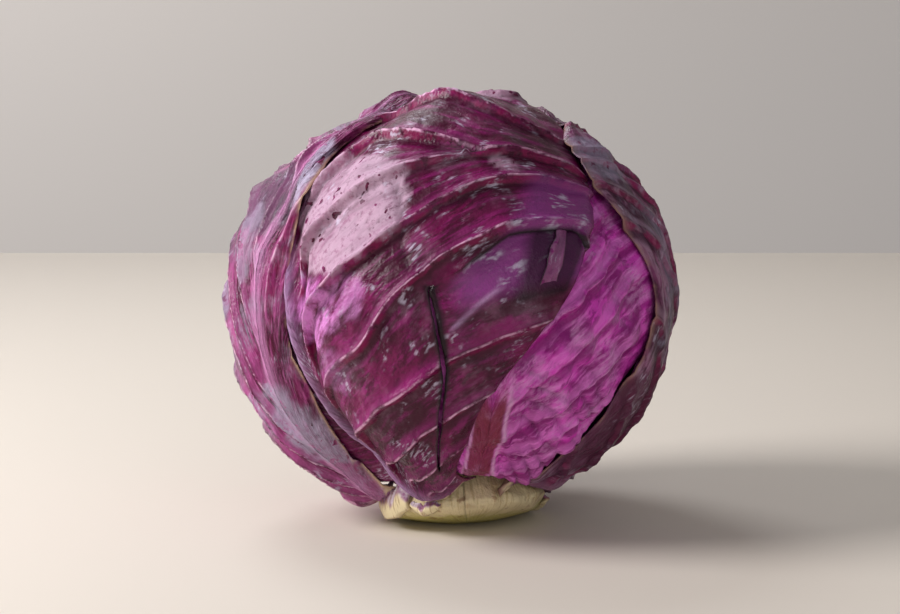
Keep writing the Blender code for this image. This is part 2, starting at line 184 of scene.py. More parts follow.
def swells(x, y, size, seed):
    """Smooth random swells from -1 to 1, about one size apart."""
    lattice = np.random.default_rng(seed).uniform(-1.0, 1.0, (128, 128))
    u, v = x / size + 31.7, y / size + 17.3
    i, j = np.floor(u).astype(int), np.floor(v).astype(int)
    right, up = smooth(u - i), smooth(v - j)
    low = lattice[i % 128, j % 128] * (1 - right) + lattice[(i + 1) % 128, j % 128] * right
    high = lattice[i % 128, (j + 1) % 128] * (1 - right) + lattice[(i + 1) % 128, (j + 1) % 128] * right
    return low * (1 - up) + high * up


HEAD_TO_WORLD = (
    Matrix.Translation((0.0, 0.0, CUT_BELOW_MIDDLE))
    @ Matrix.Rotation(radians(-CROWN_LEFT), 4, "Y")
    @ Matrix.Rotation(radians(-CROWN_BACK), 4, "X")
)


def to_world(points):
    """Moves points from the head's own axes to where it stands."""
    turn = np.array(HEAD_TO_WORLD)
    return points @ turn[:3, :3].T + turn[:3, 3]


def add_piece(name, points, faces, marks, material):
    """A closed, smooth mesh with its marks, which the finish reads as attributes."""
    mesh = bpy.data.meshes.new(name)
    mesh.from_pydata(points.tolist(), [], faces)
    for mark, values in marks.items():
        values = np.asarray(values, dtype=np.float32).reshape(len(points), -1)
        if values.shape[1] == 3:
            mesh.attributes.new(mark, "FLOAT_VECTOR", "POINT").data.foreach_set("vector", values.ravel())
        else:
            mesh.attributes.new(mark, "FLOAT", "POINT").data.foreach_set("value", values.ravel())
    mesh.materials.append(material)
    mesh.shade_smooth()
    piece = bpy.data.objects.new(name, mesh)
    bpy.context.scene.collection.objects.link(piece)
    return piece


def smooth_profile(corners, steps):
    """Rounds a list of profile corners into a fine curve through their neighbourhood."""
    places = np.linspace(0, len(corners) - 1, (len(corners) - 1) * steps + 1)
    corners = np.array(corners)
    fine = np.column_stack([np.interp(places, range(len(corners)), corners[:, k]) for k in (0, 1)])
    kernel = np.hanning(steps + 2)[1:-1]
    padded = np.pad(fine, ((steps // 2, steps - 1 - steps // 2), (0, 0)), mode="edge")
    return np.column_stack([np.convolve(padded[:, k], kernel / kernel.sum(), mode="valid") for k in (0, 1)])


def make_stem():
    profile = smooth_profile(STEM_PROFILE, STEM_STEPS)
    turn = np.linspace(0.0, 2.0 * pi, STEM_SIDES, endpoint=False)
    reach, angle = profile[:, :1], np.radians(profile[:, 1:])
    wide, deep = reach * np.sin(angle), reach * np.cos(angle) + 0 * turn
    around = turn[None, :] * wide.max()
    rim = np.exp(-(((profile[:, 1:] - 21.8) / 1.6) ** 2)) * (reach > 0.066)
    rough = swells(around, 0 * around + deep, 0.004, 11) + 0.5 * swells(around, deep, 0.0015, 12)
    fibres = swells(turn[None, :] * 0.030, deep * 0.2, 0.0010, 13)
    wide = wide + rim * (0.0005 * rough + 0.00025 * fibres) + 0.00012 * rough * (wide > 0.004)
    deep = deep + 0.00025 * swells(wide * np.sin(turn), wide * np.cos(turn), 0.006, 14)
    points = np.stack([wide * np.sin(turn), -wide * np.cos(turn), -deep], axis=-1)
    chance = np.random.default_rng(15)
    cut_edge = np.zeros(points.shape[:2])
    for k in range(KNIFE_CUTS):
        side = radians(360.0 * k / KNIFE_CUTS + chance.uniform(-12.0, 12.0))
        tilt = radians(chance.uniform(24.0, 58.0))
        facing = np.array([sin(side) * cos(tilt), -cos(side) * cos(tilt), -sin(tilt)])
        deepest = DEEPEST_CUT if k == LONG_CUT else SHALLOW_CUT
        depth = RIM_WIDE * cos(tilt) + RIM_DEEP * sin(tilt) - chance.uniform(0.2 * deepest, deepest)
        over = points @ facing - depth
        cut_edge = np.maximum(cut_edge, np.exp(-((over / 0.0005) ** 2)) * rim)
        points = points - np.maximum(over, 0.0)[..., None] * facing
    rows, sides = points.shape[:2]
    points = np.vstack([points.reshape(-1, 3), [[0, 0, -reach[0, 0]], [0, 0, -reach[-1, 0]]]])
    faces = []
    for i in range(rows - 1):
        for k in range(sides):
            n = (k + 1) % sides
            faces.append((i * sides + n, i * sides + k, (i + 1) * sides + k, (i + 1) * sides + n))
    top, end = rows * sides, rows * sides + 1
    for k in range(sides):
        n = (k + 1) % sides
        faces += [(top, k, n), (end, (rows - 1) * sides + n, (rows - 1) * sides + k)]
    points = to_world(points)
    points[:, 2] = np.maximum(points[:, 2], 0.0)
    turned = np.append(np.tile(turn, rows), [0.0, 0.0])
    marks = dict(
        dried=np.append(cut_edge.ravel(), [0.0, 0.0]),
        lay=np.stack([STEM_HALF_WIDTH * turned, points[:, 2], 0.0 * turned], axis=-1),
    )
    return points, faces, marks


def close_sheet(faces, count):
    """The faces of a sheet, its back, which starts at vertex number count, and the walls between."""
    edges = {(face[k], face[(k + 1) % 4]) for face in faces for k in range(4)}
    walls = [(b, a, a + count, b + count) for a, b in sorted(edges) if (b, a) not in edges]
    backs = [tuple(v + count for v in reversed(face)) for face in faces]
    return faces + backs + walls


def slab(outer, inner):
    """A closed mesh from two facing grids of points."""
    rows, columns = outer.shape[:2]
    number = np.arange(rows * columns).reshape(rows, columns)
    faces = []
    for i in range(rows - 1):
        for j in range(columns - 1):
            corners = (number[i, j], number[i, j + 1], number[i + 1, j + 1], number[i + 1, j])
            faces.append(tuple(int(v) for v in corners))
    return np.vstack([outer.reshape(-1, 3), inner.reshape(-1, 3)]), close_sheet(faces, rows * columns)


def make_stubs():
    """The cut bases of leaves that were pulled off: short curved scales against the rim."""
    all_points, all_faces, cream, lay = [], [], [], []
    for number, (azimuth, half, height) in enumerate(STUBS):
        a, t = np.meshgrid(np.linspace(-1.0, 1.0, 41), np.linspace(0.0, 1.0, 15))
        turn = np.radians(azimuth + half * a)
        ragged = swells(a * half * 0.0005, 0 * a, 0.0016, 20 + number)
        low = 0.0694 - 0.0024 * a**2 - 0.0004 * ragged
        deep = low - t * height * (1.0 - 0.55 * a**2 + 0.18 * ragged)
        wide = 0.0272 + 0.0012 * np.sin(pi * np.clip(t * 1.1, 0.0, 1.0))
        wide = wide + 0.0003 * swells(a, t, 0.8, 30 + number)
        thick = 0.0016 * (1.0 - 0.7 * np.abs(a) ** 3) * (1.0 - 0.6 * t)
        sheets = []
        for w in (wide, wide - thick - 0.0010):
            sheets.append(np.stack([w * np.sin(turn), -w * np.cos(turn), -deep], axis=-1))
        points, faces = slab(*sheets)
        faces = [tuple(v + sum(map(len, all_points)) for v in face) for face in faces]
        all_points.append(points)
        all_faces += faces
        cream.append(np.tile(smooth((0.65 - t + 0.15 * ragged) / 0.25).ravel(), 2))
        fibres = np.stack([STEM_HALF_WIDTH * turn, deep, 0 * turn], axis=-1)
        lay.append(np.tile(fibres.reshape(-1, 3), (2, 1)))
    points = to_world(np.vstack(all_points))
    points[:, 2] = np.maximum(points[:, 2], 0.0002)
    return points, all_faces, dict(cream=np.concatenate(cream), lay=np.vstack(lay))


class Finish:
    """A procedural material, built up from named steps."""

    def __init__(self, name, roughness, **constants):
        self.material = bpy.data.materials.new(name)
        self.material.use_nodes = True
        self.tree = self.material.node_tree
        self.shader = self.tree.nodes["Principled BSDF"]
        self.shader.inputs["Roughness"].default_value = roughness
        for socket, value in constants.items():
            self.shader.inputs[socket.replace("_", " ")].default_value = value
        self.place = self.tree.nodes.new("ShaderNodeTexCoord").outputs["Object"]

    def add(self, kind, **inputs):
        """A node with these inputs, each a plain value or the output of another node."""
        node = self.tree.nodes.new("ShaderNode" + kind)
        for socket, value in inputs.items():
            self.feed(node.inputs[socket.replace("_", " ")], value)
        return node

    def feed(self, socket, value):
        if isinstance(value, bpy.types.NodeSocket):
            self.tree.links.new(value, socket)
        else:
            socket.default_value = value

    def attribute(self, name, output):
        node = self.add("Attribute")
        node.attribute_name = name
        return node.outputs[output]

    def mark(self, name):
        return self.attribute(name, "Fac")

    def vector(self, name):
        return self.attribute(name, "Vector")

    def part(self, name, axis):
        return self.add("SeparateXYZ", Vector=self.vector(name)).outputs[axis]

    def noise(self, size, detail=3.0, roughness=0.55, stretch=(1.0, 1.0, 1.0), place=None):
        """Cloudy noise with features about one size across."""
        scale = [value / size for value in stretch]
        mapping = self.add("Mapping", Scale=scale, Vector=place or self.place)
        vector = mapping.outputs["Vector"]
        node = self.add("TexNoise", Scale=1.0, Detail=detail, Roughness=roughness, Vector=vector)
        return node.outputs["Fac"]

    def cells(self, size, place):
        """Distance to the nearest edge of a net of uneven cells, in shares of a cell."""
        mapping = self.add("Mapping", Scale=[1.0 / size] * 3, Vector=place)
        node = self.add("TexVoronoi", Scale=1.0, Vector=mapping.outputs["Vector"])
        node.feature = "DISTANCE_TO_EDGE"
        return node.outputs["Distance"]

    def ramp(self, value, start, end):
        """A smooth rise from 0 where the value is at start to 1 where it is at end."""
        low, high = (0.0, 1.0) if end > start else (1.0, 0.0)
        start, end = min(start, end), max(start, end)
        node = self.add("MapRange", From_Min=start, From_Max=end, To_Min=low, To_Max=high, Value=value)
        node.interpolation_type = "SMOOTHSTEP"
        return node.outputs["Result"]

    def scale(self, value, factor):
        return self.math("MULTIPLY", value, factor)

    def product(self, *values):
        result = values[0]
        for value in values[1:]:
            result = self.math("MULTIPLY", result, value)
        return result

    def math(self, operation, first, second):
        node = self.add("Math")
        node.operation = operation
        for socket, value in zip(node.inputs, (first, second)):
            self.feed(socket, value)
        return node.outputs[0]

    def blend(self, amount, under, over):
        """One colour over another, by an amount."""
        node = self.add("Mix")
        node.data_type = "RGBA"
        colours = [socket for socket in node.inputs if socket.type == "RGBA"]
        for socket, value in zip((node.inputs[0], *colours), (amount, under, over)):
            self.feed(socket, value)
        return [socket for socket in node.outputs if socket.type == "RGBA"][0]

    def colour(self, value):
        self.feed(self.shader.inputs["Base Color"], value)

    def gloss(self, value):
        self.feed(self.shader.inputs["Roughness"], value)

    def bump(self, value, depth):
        node = self.add("Bump", Distance=depth, Strength=1.0, Height=value)
        self.feed(self.shader.inputs["Normal"], node.outputs["Normal"])


pith = Finish("stem_pith", 0.55, Specular_IOR_Level=0.35)
fibre = pith.noise(0.0012, 3.0, 0.6, (1.0, 0.12, 1.0), pith.vector("lay"))
height = pith.part("lay", "Y")
uneven = pith.math("ADD", height, pith.scale(pith.noise(0.004), 0.006))
pale = pith.blend(pith.ramp(uneven, 0.007, 0.011), STEM_GREEN, STEM_CREAM)
pale = pith.blend(pith.scale(pith.ramp(fibre, 0.52, 0.62), 0.45), pale, tone(176, 150, 92))
pale = pith.blend(pith.scale(pith.ramp(pith.noise(0.0035, 4.0), 0.58, 0.70), 0.6), pale, STEM_DRIED)
pale = pith.blend(pith.scale(pith.mark("dried"), 0.55), pale, STEM_DRIED)
pith.colour(pale)
pith.bump(pith.math("ADD", fibre, pith.noise(0.0009, 4.0)), 0.0005)

points, faces, marks = make_stem()
stem = add_piece("stem_trimmed", points, faces, marks, pith.material)
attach(stem, "root")
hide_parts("stem")

scar = Finish("stem_scar", 0.5, Specular_IOR_Level=0.35)
fibre = scar.noise(0.0010, 3.0, 0.6, (1.0, 0.15, 1.0), scar.vector("lay"))
skin = scar.blend(scar.ramp(scar.noise(0.003), 0.4, 0.6), STEM_PURPLE, tone(206, 190, 200))
skin = scar.blend(scar.mark("cream"), skin, STEM_CREAM)
skin = scar.blend(scar.scale(scar.ramp(fibre, 0.52, 0.60), 0.5), skin, STEM_DRIED)
scar.colour(skin)
scar.bump(fibre, 0.0004)
points, faces, marks = make_stubs()
stubs = add_piece("stem_stubs", points, faces, marks, scar.material)
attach(stubs, "root")

# ---- the heart ----
# Dozens of young leaves, folded tight into a ball. Only a line of it can show, deep in the gaps
# between the wrapper leaves, so the frame's own solid stays and takes the colour of a shaded leaf.

shaded = Finish("heart_leaf", 0.5)
shaded.colour(shaded.blend(shaded.noise(0.012), tone(92, 26, 78), tone(150, 60, 134)))
shaded.bump(shaded.noise(0.004, 4.0), 0.0006)
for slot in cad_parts["heart"].material_slots:
    slot.material = shaded.material

# ---- the lie of the leaves ----
# Seven wrapper leaves grow from the stem and close over the heart, each over the ones before it.
# A leaf is laid out flat, x across and y towards its tip, and wrapped on to the head from there.

HEAD_RADIUS = 0.0734
CROWN_RADIUS = 0.0730
BASE_RADIUS = 0.0695
LAYER = 0.0029
DRAPE_START = 0.005
DRAPE = 0.014
SETTLE = 0.024
FIRST_GAP = 0.0008
FOOT_SWELL = 0.0060
FOOT_SWELL_END = 40.0
CROWN_BULGE = 0.0098
CROWN_HOLLOW = 0.0062
FOOT_ANGLE = 23.1
CORNER_SPREAD = 12.0
FOOT_BLEND = 0.10
VEINS = 12
MIDRIB_HALF_WIDTH = (0.0065, 0.0012)
MIDRIB_RISE = (0.0030, 0.0007)
VEIN_ELBOW = (0.11, 0.34)
MARGIN_WAVE = 0.0022
LAST_ROW_ANGLE = 82.0


def between(pair, share):
    return pair[0] + (pair[1] - pair[0]) * share


def unit(azimuth, from_stem):
    """Direction from the middle of the head; azimuth 0 faces the front, 90 the right."""
    a, p = np.radians(azimuth), np.radians(from_stem)
    return np.stack([np.sin(a) * np.sin(p), -np.cos(a) * np.sin(p), -np.cos(p) + 0.0 * a], axis=-1)


def head_radius(direction):
    across = (direction[..., 0] ** 2 + direction[..., 1] ** 2) / HEAD_RADIUS**2
    along = (direction[..., 2] / np.where(direction[..., 2] > 0.0, CROWN_RADIUS, BASE_RADIUS)) ** 2
    angle = np.degrees(np.arccos(np.clip(-direction[..., 2], -1.0, 1.0)))
    in_front = 0.5 - 0.5 * direction[..., 1] / (np.hypot(direction[..., 0], direction[..., 1]) + 1e-9)
    swell = FOOT_SWELL * in_front * smooth((FOOT_SWELL_END - angle) / (FOOT_SWELL_END - FOOT_ANGLE))
    bulge = CROWN_BULGE * np.maximum(direction[..., 0], 0.0) * smooth((angle - 150.0) / 15.0)
    hollow = CROWN_HOLLOW * np.maximum(-direction[..., 0], 0.0) * smooth((angle - 120.0) / 30.0)
    return 1.0 / np.sqrt(across + along) + swell + bulge - hollow


def inside_outline(start, x, y):
    """Distance in from a closed outline; negative outside it."""
    point = np.stack([x, y], axis=-1)[..., None, :]
    step = np.roll(start, -1, axis=0) - start
    along = np.clip(((point - start) * step).sum(-1) / (step**2).sum(-1), 0.0, 1.0)
    nearest = np.linalg.norm(point - start - along[..., None] * step, axis=-1).min(-1)
    above = start[:, 1] > y[..., None]
    crosses = above != np.roll(above, -1, axis=-1)
    slope = step[:, 0] / np.where(np.abs(step[:, 1]) < 1e-12, 1e-12, step[:, 1])
    hit = x[..., None] < start[:, 0] + slope * (y[..., None] - start[:, 1])
    return np.where((crosses & hit).sum(-1) % 2 == 1, nearest, -nearest)


class Lie:
    """Where one leaf lies: its midrib, margin and rows, and the room that it takes."""

    def __init__(self, azimuth, rise, foot_azimuth, past_crown, left, right, seed, **others):
        sizes = dict(left_taper=1.0, right_taper=1.0, slant=0.8, widest=0.012, foot_bend=2.2)
        sizes.update(foot_left=27.0, foot_right=27.0)
        sizes.update(others)
        self.__dict__.update(sizes)
        self.foot_azimuth, self.left, self.right, self.seed = foot_azimuth, left, right, seed
        a, e = radians(azimuth), radians(rise)
        self.out = np.array([sin(a) * cos(e), -cos(a) * cos(e), sin(e)])
        self.across = np.array([cos(a), sin(a), 0.0])
        self.up = np.cross(self.out, self.across)
        self.foot_x, self.foot_y = self.to_plane(unit(foot_azimuth, FOOT_ANGLE))
        self.tip_y = HEAD_RADIUS * radians(90.0 - rise + past_crown)
        self.wave = np.random.default_rng(seed).uniform(0.0, 2.0 * pi, 3)
        rows = np.linspace(0.0, 1.0, 60) ** 1.4
        right_side = np.stack(self.margin(rows, 1.0), axis=-1)
        left_side = np.stack(self.margin(rows, -1.0), axis=-1)
        tip = np.array([self.point(1.0, across) for across in np.linspace(0.8, -0.8, 9)])
        foot = np.stack(self.foot(np.linspace(-0.8, 0.8, 5)), axis=-1)
        self.outline = np.concatenate([right_side, tip, left_side[::-1], foot])

    def to_plane(self, direction):
        angle = np.arccos(np.clip(direction @ self.out, -1.0, 1.0))
        stretch = HEAD_RADIUS * angle / (np.sin(angle) + 1e-9)
        return stretch * (direction @ self.across), stretch * (direction @ self.up)

    def to_direction(self, x, y):
        reach = np.hypot(x, y) + 1e-12
        angle = reach / HEAD_RADIUS
        side = (np.sin(angle) / reach)[..., None]
        return np.cos(angle)[..., None] * self.out + side * (
            x[..., None] * self.across + y[..., None] * self.up
        )

    def midrib_x(self, y):
        share = np.clip((self.widest - y) / (self.widest - self.foot_y), 0.0, 1.2)
        return self.foot_x * share**self.foot_bend

    def midrib(self, row):
        y = self.foot_y + (self.tip_y - self.foot_y) * row**2.0
        return self.midrib_x(y), y

    def foot(self, across):
        half_angle = np.where(np.asarray(across) > 0, self.foot_right, self.foot_left)
        return self.to_plane(unit(self.foot_azimuth + half_angle * across, FOOT_ANGLE))

    def margin(self, row, side):
        angle = np.radians(-90.0 + (90.0 + LAST_ROW_ANGLE) * row**self.slant)
        half = self.right if side > 0 else self.left
        foot_half = abs(float(self.foot(side)[0]) - self.foot_x)
        low = angle < 0
        reach = np.where(low, self.widest - self.foot_y, self.tip_y - self.widest)
        y = self.widest + reach * np.sin(angle)
        rise = np.abs(np.cos(angle)) ** (self.right_taper if side > 0 else self.left_taper)
        bare = np.where(low, foot_half + (half - foot_half) * rise, half * np.cos(angle))
        waves = sum(np.sin((5 + 3 * k) * angle + side * self.wave[k]) / (1 + k) for k in range(3))
        return side * (bare + MARGIN_WAVE * smooth(row / 0.25) * waves) + self.midrib_x(y), y

    def point(self, row, across):
        return self.bow(row, abs(across), 1.0 if across >= 0 else -1.0)

    def bow(self, row, q, side):
        """Places on a row: the row bows up from the midrib to the margin, as a side vein does."""
        mid_x, mid_y = self.midrib(row)
        end_x, end_y = self.margin(row, side)
        turn_x = mid_x + VEIN_ELBOW[0] * (end_x - mid_x)
        turn_y = mid_y + VEIN_ELBOW[1] * (end_y - mid_y)
        x = (1 - q) ** 2 * mid_x + 2 * q * (1 - q) * turn_x + q**2 * end_x
        y = (1 - q) ** 2 * mid_y + 2 * q * (1 - q) * turn_y + q**2 * end_y
        return x, y

    def inside_by(self, x, y):
        return inside_outline(self.outline, x, y)

    def bulk(self, direction, start, run):
        x, y = self.to_plane(direction)
        cover = smooth(1.0 + (self.inside_by(x, y) + start) / run)
        share = np.clip((y - self.foot_y) / (self.tip_y - self.foot_y), 0.0, 1.0)
        width = 2.4 * between(MIDRIB_HALF_WIDTH, share)
        ridge = between(MIDRIB_RISE, share) * smooth(1.5 - np.abs(x - self.midrib_x(y)) / width)
        return cover * (LAYER + ridge)


LIES = dict(
    leaf_right_inner=Lie(128, 8, 120, -14, 0.074, 0.074, 1),
    leaf_left_inner=Lie(-118, 8, -112, -10, 0.074, 0.074, 2),
    leaf_front_inner=Lie(12, 8, 6, -8, 0.060, 0.086, 3),
    leaf_front=Lie(
        -50, 12, -18, 12, 0.070, 0.112, 4, widest=0.018, right_taper=2.4, foot_bend=6.0, slant=0.95
    ),
    leaf_back=Lie(178, 12, 172, 8, 0.082, 0.080, 5),
    leaf_left=Lie(
        -54, 12, -60, -4, 0.096, 0.010, 6, widest=0.020, right_taper=5.0, foot_bend=1.0, foot_right=10.0
    ),
    leaf_right=Lie(126, 12, 50, -14, 0.085, 0.076, 7, widest=0.035, left_taper=1.4, foot_bend=1.8),
)


def inner_radius(node, direction):
    """Radius of a leaf's inner face: on the heart, over every leaf that is under it."""
    room = sum(lie.bulk(direction, SETTLE / 2, SETTLE) for lie in LIES.values())
    radius = head_radius(direction) - room + FIRST_GAP
    for name, lie in LIES.items():
        if name == node:
            return radius
        radius = radius + lie.bulk(direction, DRAPE_START, DRAPE)


# ---- the inner leaves ----
# Three younger leaves lie under the outer ones. They are thinner, brighter and more crinkled, because
# the light never bleached them and no wind smoothed them. The front one shows in a wide wedge.

COARSE = 4  # the lie is worked out at every fourth point of a blade, and is smooth between them
VEIN_SPAN = 0.0165  # how far apart two side veins are taken to be, where a pattern follows them
BLADE_SPAN = 0.085  # how far it is taken to be from midrib to margin
RIM = 0.004  # width of the last strip at a margin, as a share of the half blade
SINK = 0.0008  # the hollows of the relief go this far into the blade
THICKNESS = (0.0011, 0.0005)  # of the open blade, and of its margin
PROBE_FROM = 0.1  # looks for the leaves in place from this far out
PROBE_REACH = 0.06  # over this length
LEAST_GAP = 0.0004
WRINKLE_SIZE = 0.0032


def net_distance(x, y, cell, seed):
    """Distance to the nearest line of a net of uneven cells."""
    jitter = np.random.default_rng(seed).uniform(0.12, 0.88, (64, 64, 2))
    u, v = x / cell + 20.0, y / cell + 20.0
    i, j = np.floor(u).astype(int), np.floor(v).astype(int)
    reach = []
    for a in (-1, 0, 1):
        for b in (-1, 0, 1):
            spot = jitter[(i + a) % 64, (j + b) % 64]
            reach.append(np.hypot(u - i - a - spot[..., 0], v - j - b - spot[..., 1]))
    reach = np.sort(np.stack(reach), axis=0)
    return 0.5 * cell * (reach[1] - reach[0])


def coarse_lines(count):
    return np.unique(np.append(np.arange(0, count, COARSE), count - 1))


def stretch_to(coarse, rows, columns):
    """Fills a blade's grid from every fourth row and column of it."""
    low_rows, low_columns = coarse_lines(rows), coarse_lines(columns)
    tall = np.stack([np.interp(range(rows), low_rows, column) for column in coarse.T], axis=1)
    return np.stack([np.interp(range(columns), low_columns, tall[k]) for k in range(rows)])


def neighbours(grid):
    """The grid as each of its nine near neighbours sees it."""
    wide = np.pad(grid, 1, mode="edge")
    tall, broad = grid.shape
    return [wide[a : a + tall, b : b + broad] for a in range(3) for b in range(3)]


class Blade:
    """A leaf's surface in full: its grid on the lie, its ribs and crinkles, and its marks."""

    laid = []  # the blades that are in place, for the next ones to lie on

    def __init__(self, node, rows, columns, bend=None, pull=None, lean=(0.0, 1.0), short=None):
        self.node, self.lie, self.lean = node, LIES[node], lean
        lie = self.lie
        row = np.linspace(0.0, 1.0, rows) ** 0.8
        across = np.concatenate([[-1.0], np.linspace(-1.0 + RIM, 1.0 - RIM, columns - 2), [1.0]])
        self.row = row[:, None] + 0.0 * across
        self.across = across + 0.0 * row[:, None]
        places = []
        for k in range(columns):
            reached = self.across[:, k]
            if bend:
                self.row[:, k], reached = bend(row, reached)
            places.append(self.spread(self.row[:, k], reached))
        self.x = np.stack([x for x, _ in places], axis=1)
        self.y = np.stack([y for _, y in places], axis=1)
        self.share = np.clip((self.y - lie.foot_y) / (lie.tip_y - lie.foot_y), 0.0, 1.0)
        self.from_midrib = self.x - lie.midrib_x(self.y)
        steps = np.hypot(np.diff(self.x, axis=1), np.diff(self.y, axis=1))
        zero = np.zeros((rows, 1))
        from_left = np.cumsum(np.concatenate([zero, steps], axis=1), axis=1)
        self.from_margin = np.minimum(from_left, from_left[:, -1:] - from_left)
        along_row = np.stack([np.gradient(self.x, axis=1), np.gradient(self.y, axis=1)])
        up_row = np.stack([np.gradient(self.x, row, axis=0), np.gradient(self.y, row, axis=0)])
        length = np.hypot(*along_row) + 1e-9
        self.row_gap = np.abs(along_row[0] * up_row[1] - along_row[1] * up_row[0]) / length
        if pull:
            side, start, run, heights, shifts = pull
            held = smooth((side * self.from_midrib - start) / run)
            self.x = self.x + 0.001 * np.interp(self.y * 1000.0, heights, shifts) * held
        if short:
            start, share = short
            self.y = np.minimum(self.y, start + share * (self.y - start))
        self.base = self.lay_down()

    def spread(self, row, across):
        """Places of one column, whose share across may change from row to row."""
        x, y = self.lie.bow(row, np.abs(across), 1.0 if across.mean() >= 0 else -1.0)
        start_x, start_y = self.lie.point(0.0, float(across[0]))
        foot_x, foot_y = self.lie.foot(float(across[0]))
        hold = np.maximum(0.0, 1.0 - row / FOOT_BLEND)
        return x + hold * (foot_x - start_x), y + hold * (foot_y - start_y)

    def keep_off_stem(self, directions):
        angle = np.arccos(np.clip(-directions[..., 2], -1.0, 1.0))
        turned = np.maximum(angle, np.radians(FOOT_ANGLE + CORNER_SPREAD * self.row))
        wide = np.hypot(directions[..., 0], directions[..., 1])
        flat = directions[..., :2] / wide[..., None] * np.sin(turned)[..., None]
        return np.concatenate([flat, -np.cos(turned)[..., None]], axis=-1)

    def lay_down(self):
        """Radius of the inner face, and how much of the leaf lies under the leaves over it."""
        self.directions = self.keep_off_stem(self.lie.to_direction(self.x, self.y))
        rows, columns = self.x.shape
        coarse = self.directions[np.ix_(coarse_lines(rows), coarse_lines(columns))]
        over = list(LIES)[list(LIES).index(self.node) + 1 :]
        depths = [LIES[name].inside_by(*LIES[name].to_plane(coarse)) for name in over]
        under = [smooth((depth + 0.003) / 0.004) for depth in depths]
        covered = np.max(under, axis=0) if under else np.zeros(coarse.shape[:2])
        self.covered = stretch_to(covered, rows, columns)
        return stretch_to(inner_radius(self.node, coarse), rows, columns)

    def count_veins(self, right, left):
        """How many veins up the leaf each place is, and how far from those above and below it."""
        rows, columns = self.row.shape
        self.count, self.above, self.below = (np.zeros((rows, columns)) for _ in range(3))
        seed = self.lie.seed * 100
        waver = 0.006 * swells(self.x, self.y, 0.022, seed)
        waver = waver + 0.003 * swells(self.x, self.y, 0.008, seed + 1)
        for k in range(columns):
            q = abs(self.across[0, k])
            veins = left if self.across[0, k] < 0 else right
            rise = self.lean[0] * smooth(q / self.lean[1])
            heights = np.array([start + turn * smooth((q - 0.45) / 0.45) + rise for start, turn in veins])
            below, beyond = 2 * heights[0] - heights[1], 2 * heights[-1] - heights[-2]
            heights = np.concatenate([[below], heights, [beyond]])
            heights = np.maximum.accumulate(heights + 1e-6 * np.arange(len(heights)))
            place = np.clip(self.row[:, k] + waver[:, k], heights[0], heights[-1] - 1e-6)
            first = np.clip(np.searchsorted(heights, place, side="right") - 1, 0, len(heights) - 2)
            low, high = heights[first], heights[first + 1]
            self.count[:, k] = first + (place - low) / (high - low)
            self.above[:, k] = (place - low) * self.row_gap[:, k]
            self.below[:, k] = (high - place) * self.row_gap[:, k]

    def grow(self, veins, vein_rise, step, crinkle, net_rise, lift=0.0, rib_width=1.0, left_veins=1.0):
        """Heights of the outer face over the inner one, and the marks that the finish reads."""
        seed = self.lie.seed * 100
        self.count_veins(*veins)
        beat = self.count - np.floor(self.count)
        pitch = self.above + self.below
        steep = np.clip(0.0024 / (pitch + 1e-6), 0.10, 0.45)
        saw = np.where(beat < 1.0 - steep, 1.0 - beat / (1.0 - steep), smooth((beat - 1.0 + steep) / steep))
        width = 0.0013 * (1.25 - 0.55 * np.abs(self.across))
        crest = np.exp(-((self.above / width) ** 2)) + np.exp(-((self.below / (0.7 * width)) ** 2))
        strength = smooth((pitch - 0.002) / 0.009) * (1.0 - 0.45 * self.across**2) * smooth(self.row / 0.08)
        strength = strength * (0.85 + 0.3 * swells(self.count * 0.4, self.across, 0.25, seed + 7))
        strength = strength * (1.0 - 0.7 * smooth((self.row - 0.80) / 0.15))
        strength = strength * np.where(self.across < 0.0, left_veins, 1.0)
        open_blade = smooth(self.from_margin / 0.004) * smooth(self.row / 0.12)
        lay = self.count * VEIN_SPAN, self.across * BLADE_SPAN
        lines = net_distance(*lay, 0.0090, seed + 2)
        net = np.exp(-((lines / 0.0009) ** 2))
        puff = smooth(lines / 0.0032)
        crease = swells(self.x, self.y, 0.0095, seed + 4) + 0.5 * swells(self.x, self.y, 0.0045, seed + 5)
        half = rib_width * between(MIDRIB_HALF_WIDTH, self.share)
        on_rib = np.exp(-np.abs(self.from_midrib / half) ** 2.6)
        rib = on_rib * between(MIDRIB_RISE, self.share) * 0.95
        off_rib = 1.0 - 0.9 * on_rib
        ribs = strength * (vein_rise * crest + step * saw) * off_rib
        folds = open_blade * off_rib * (crinkle * (0.5 + 0.4 * crease + 0.5 * puff) + net_rise * net)
        curl = lift * np.exp(-self.from_margin / 0.005)
        curl = curl * (0.55 + 0.45 * swells(self.x, self.y, 0.013, seed + 6))
        curl = curl * smooth(self.row / 0.2) * (1.0 - smooth((self.row - 0.56) / 0.12))
        self.thickness = between(THICKNESS, np.exp(-self.from_margin / 0.004))
        relief = np.maximum(ribs + folds, 0.0)
        tucked = 0.0015 * relief / (relief + 0.0015)
        self.height = self.thickness + rib + between((relief - SINK, tucked), self.covered)
        self.height = self.height + curl * (1.0 - self.covered)
        self.thickness = self.thickness + 0.8 * rib
        upper = beat < 0.5
        nearest = np.minimum(self.above, self.below)
        near = 1.0 - smooth((nearest / (pitch + 1e-6) - 0.30) / 0.14)
        self.marks = dict(
            lay=np.stack([lay[0], lay[1], 0.0 * lay[0]], axis=-1),
            from_vein=np.where(upper, self.above, -self.below),
            veined=np.clip(1.6 * strength * off_rib * near, 0.0, 1.0),
            rib=np.exp(-np.abs(self.from_midrib / (0.9 * half)) ** 3),
            edge=np.exp(-self.from_margin / 0.0008),
            foot=1.0 - smooth(self.row / 0.22 + 0.1 * crease),
        )

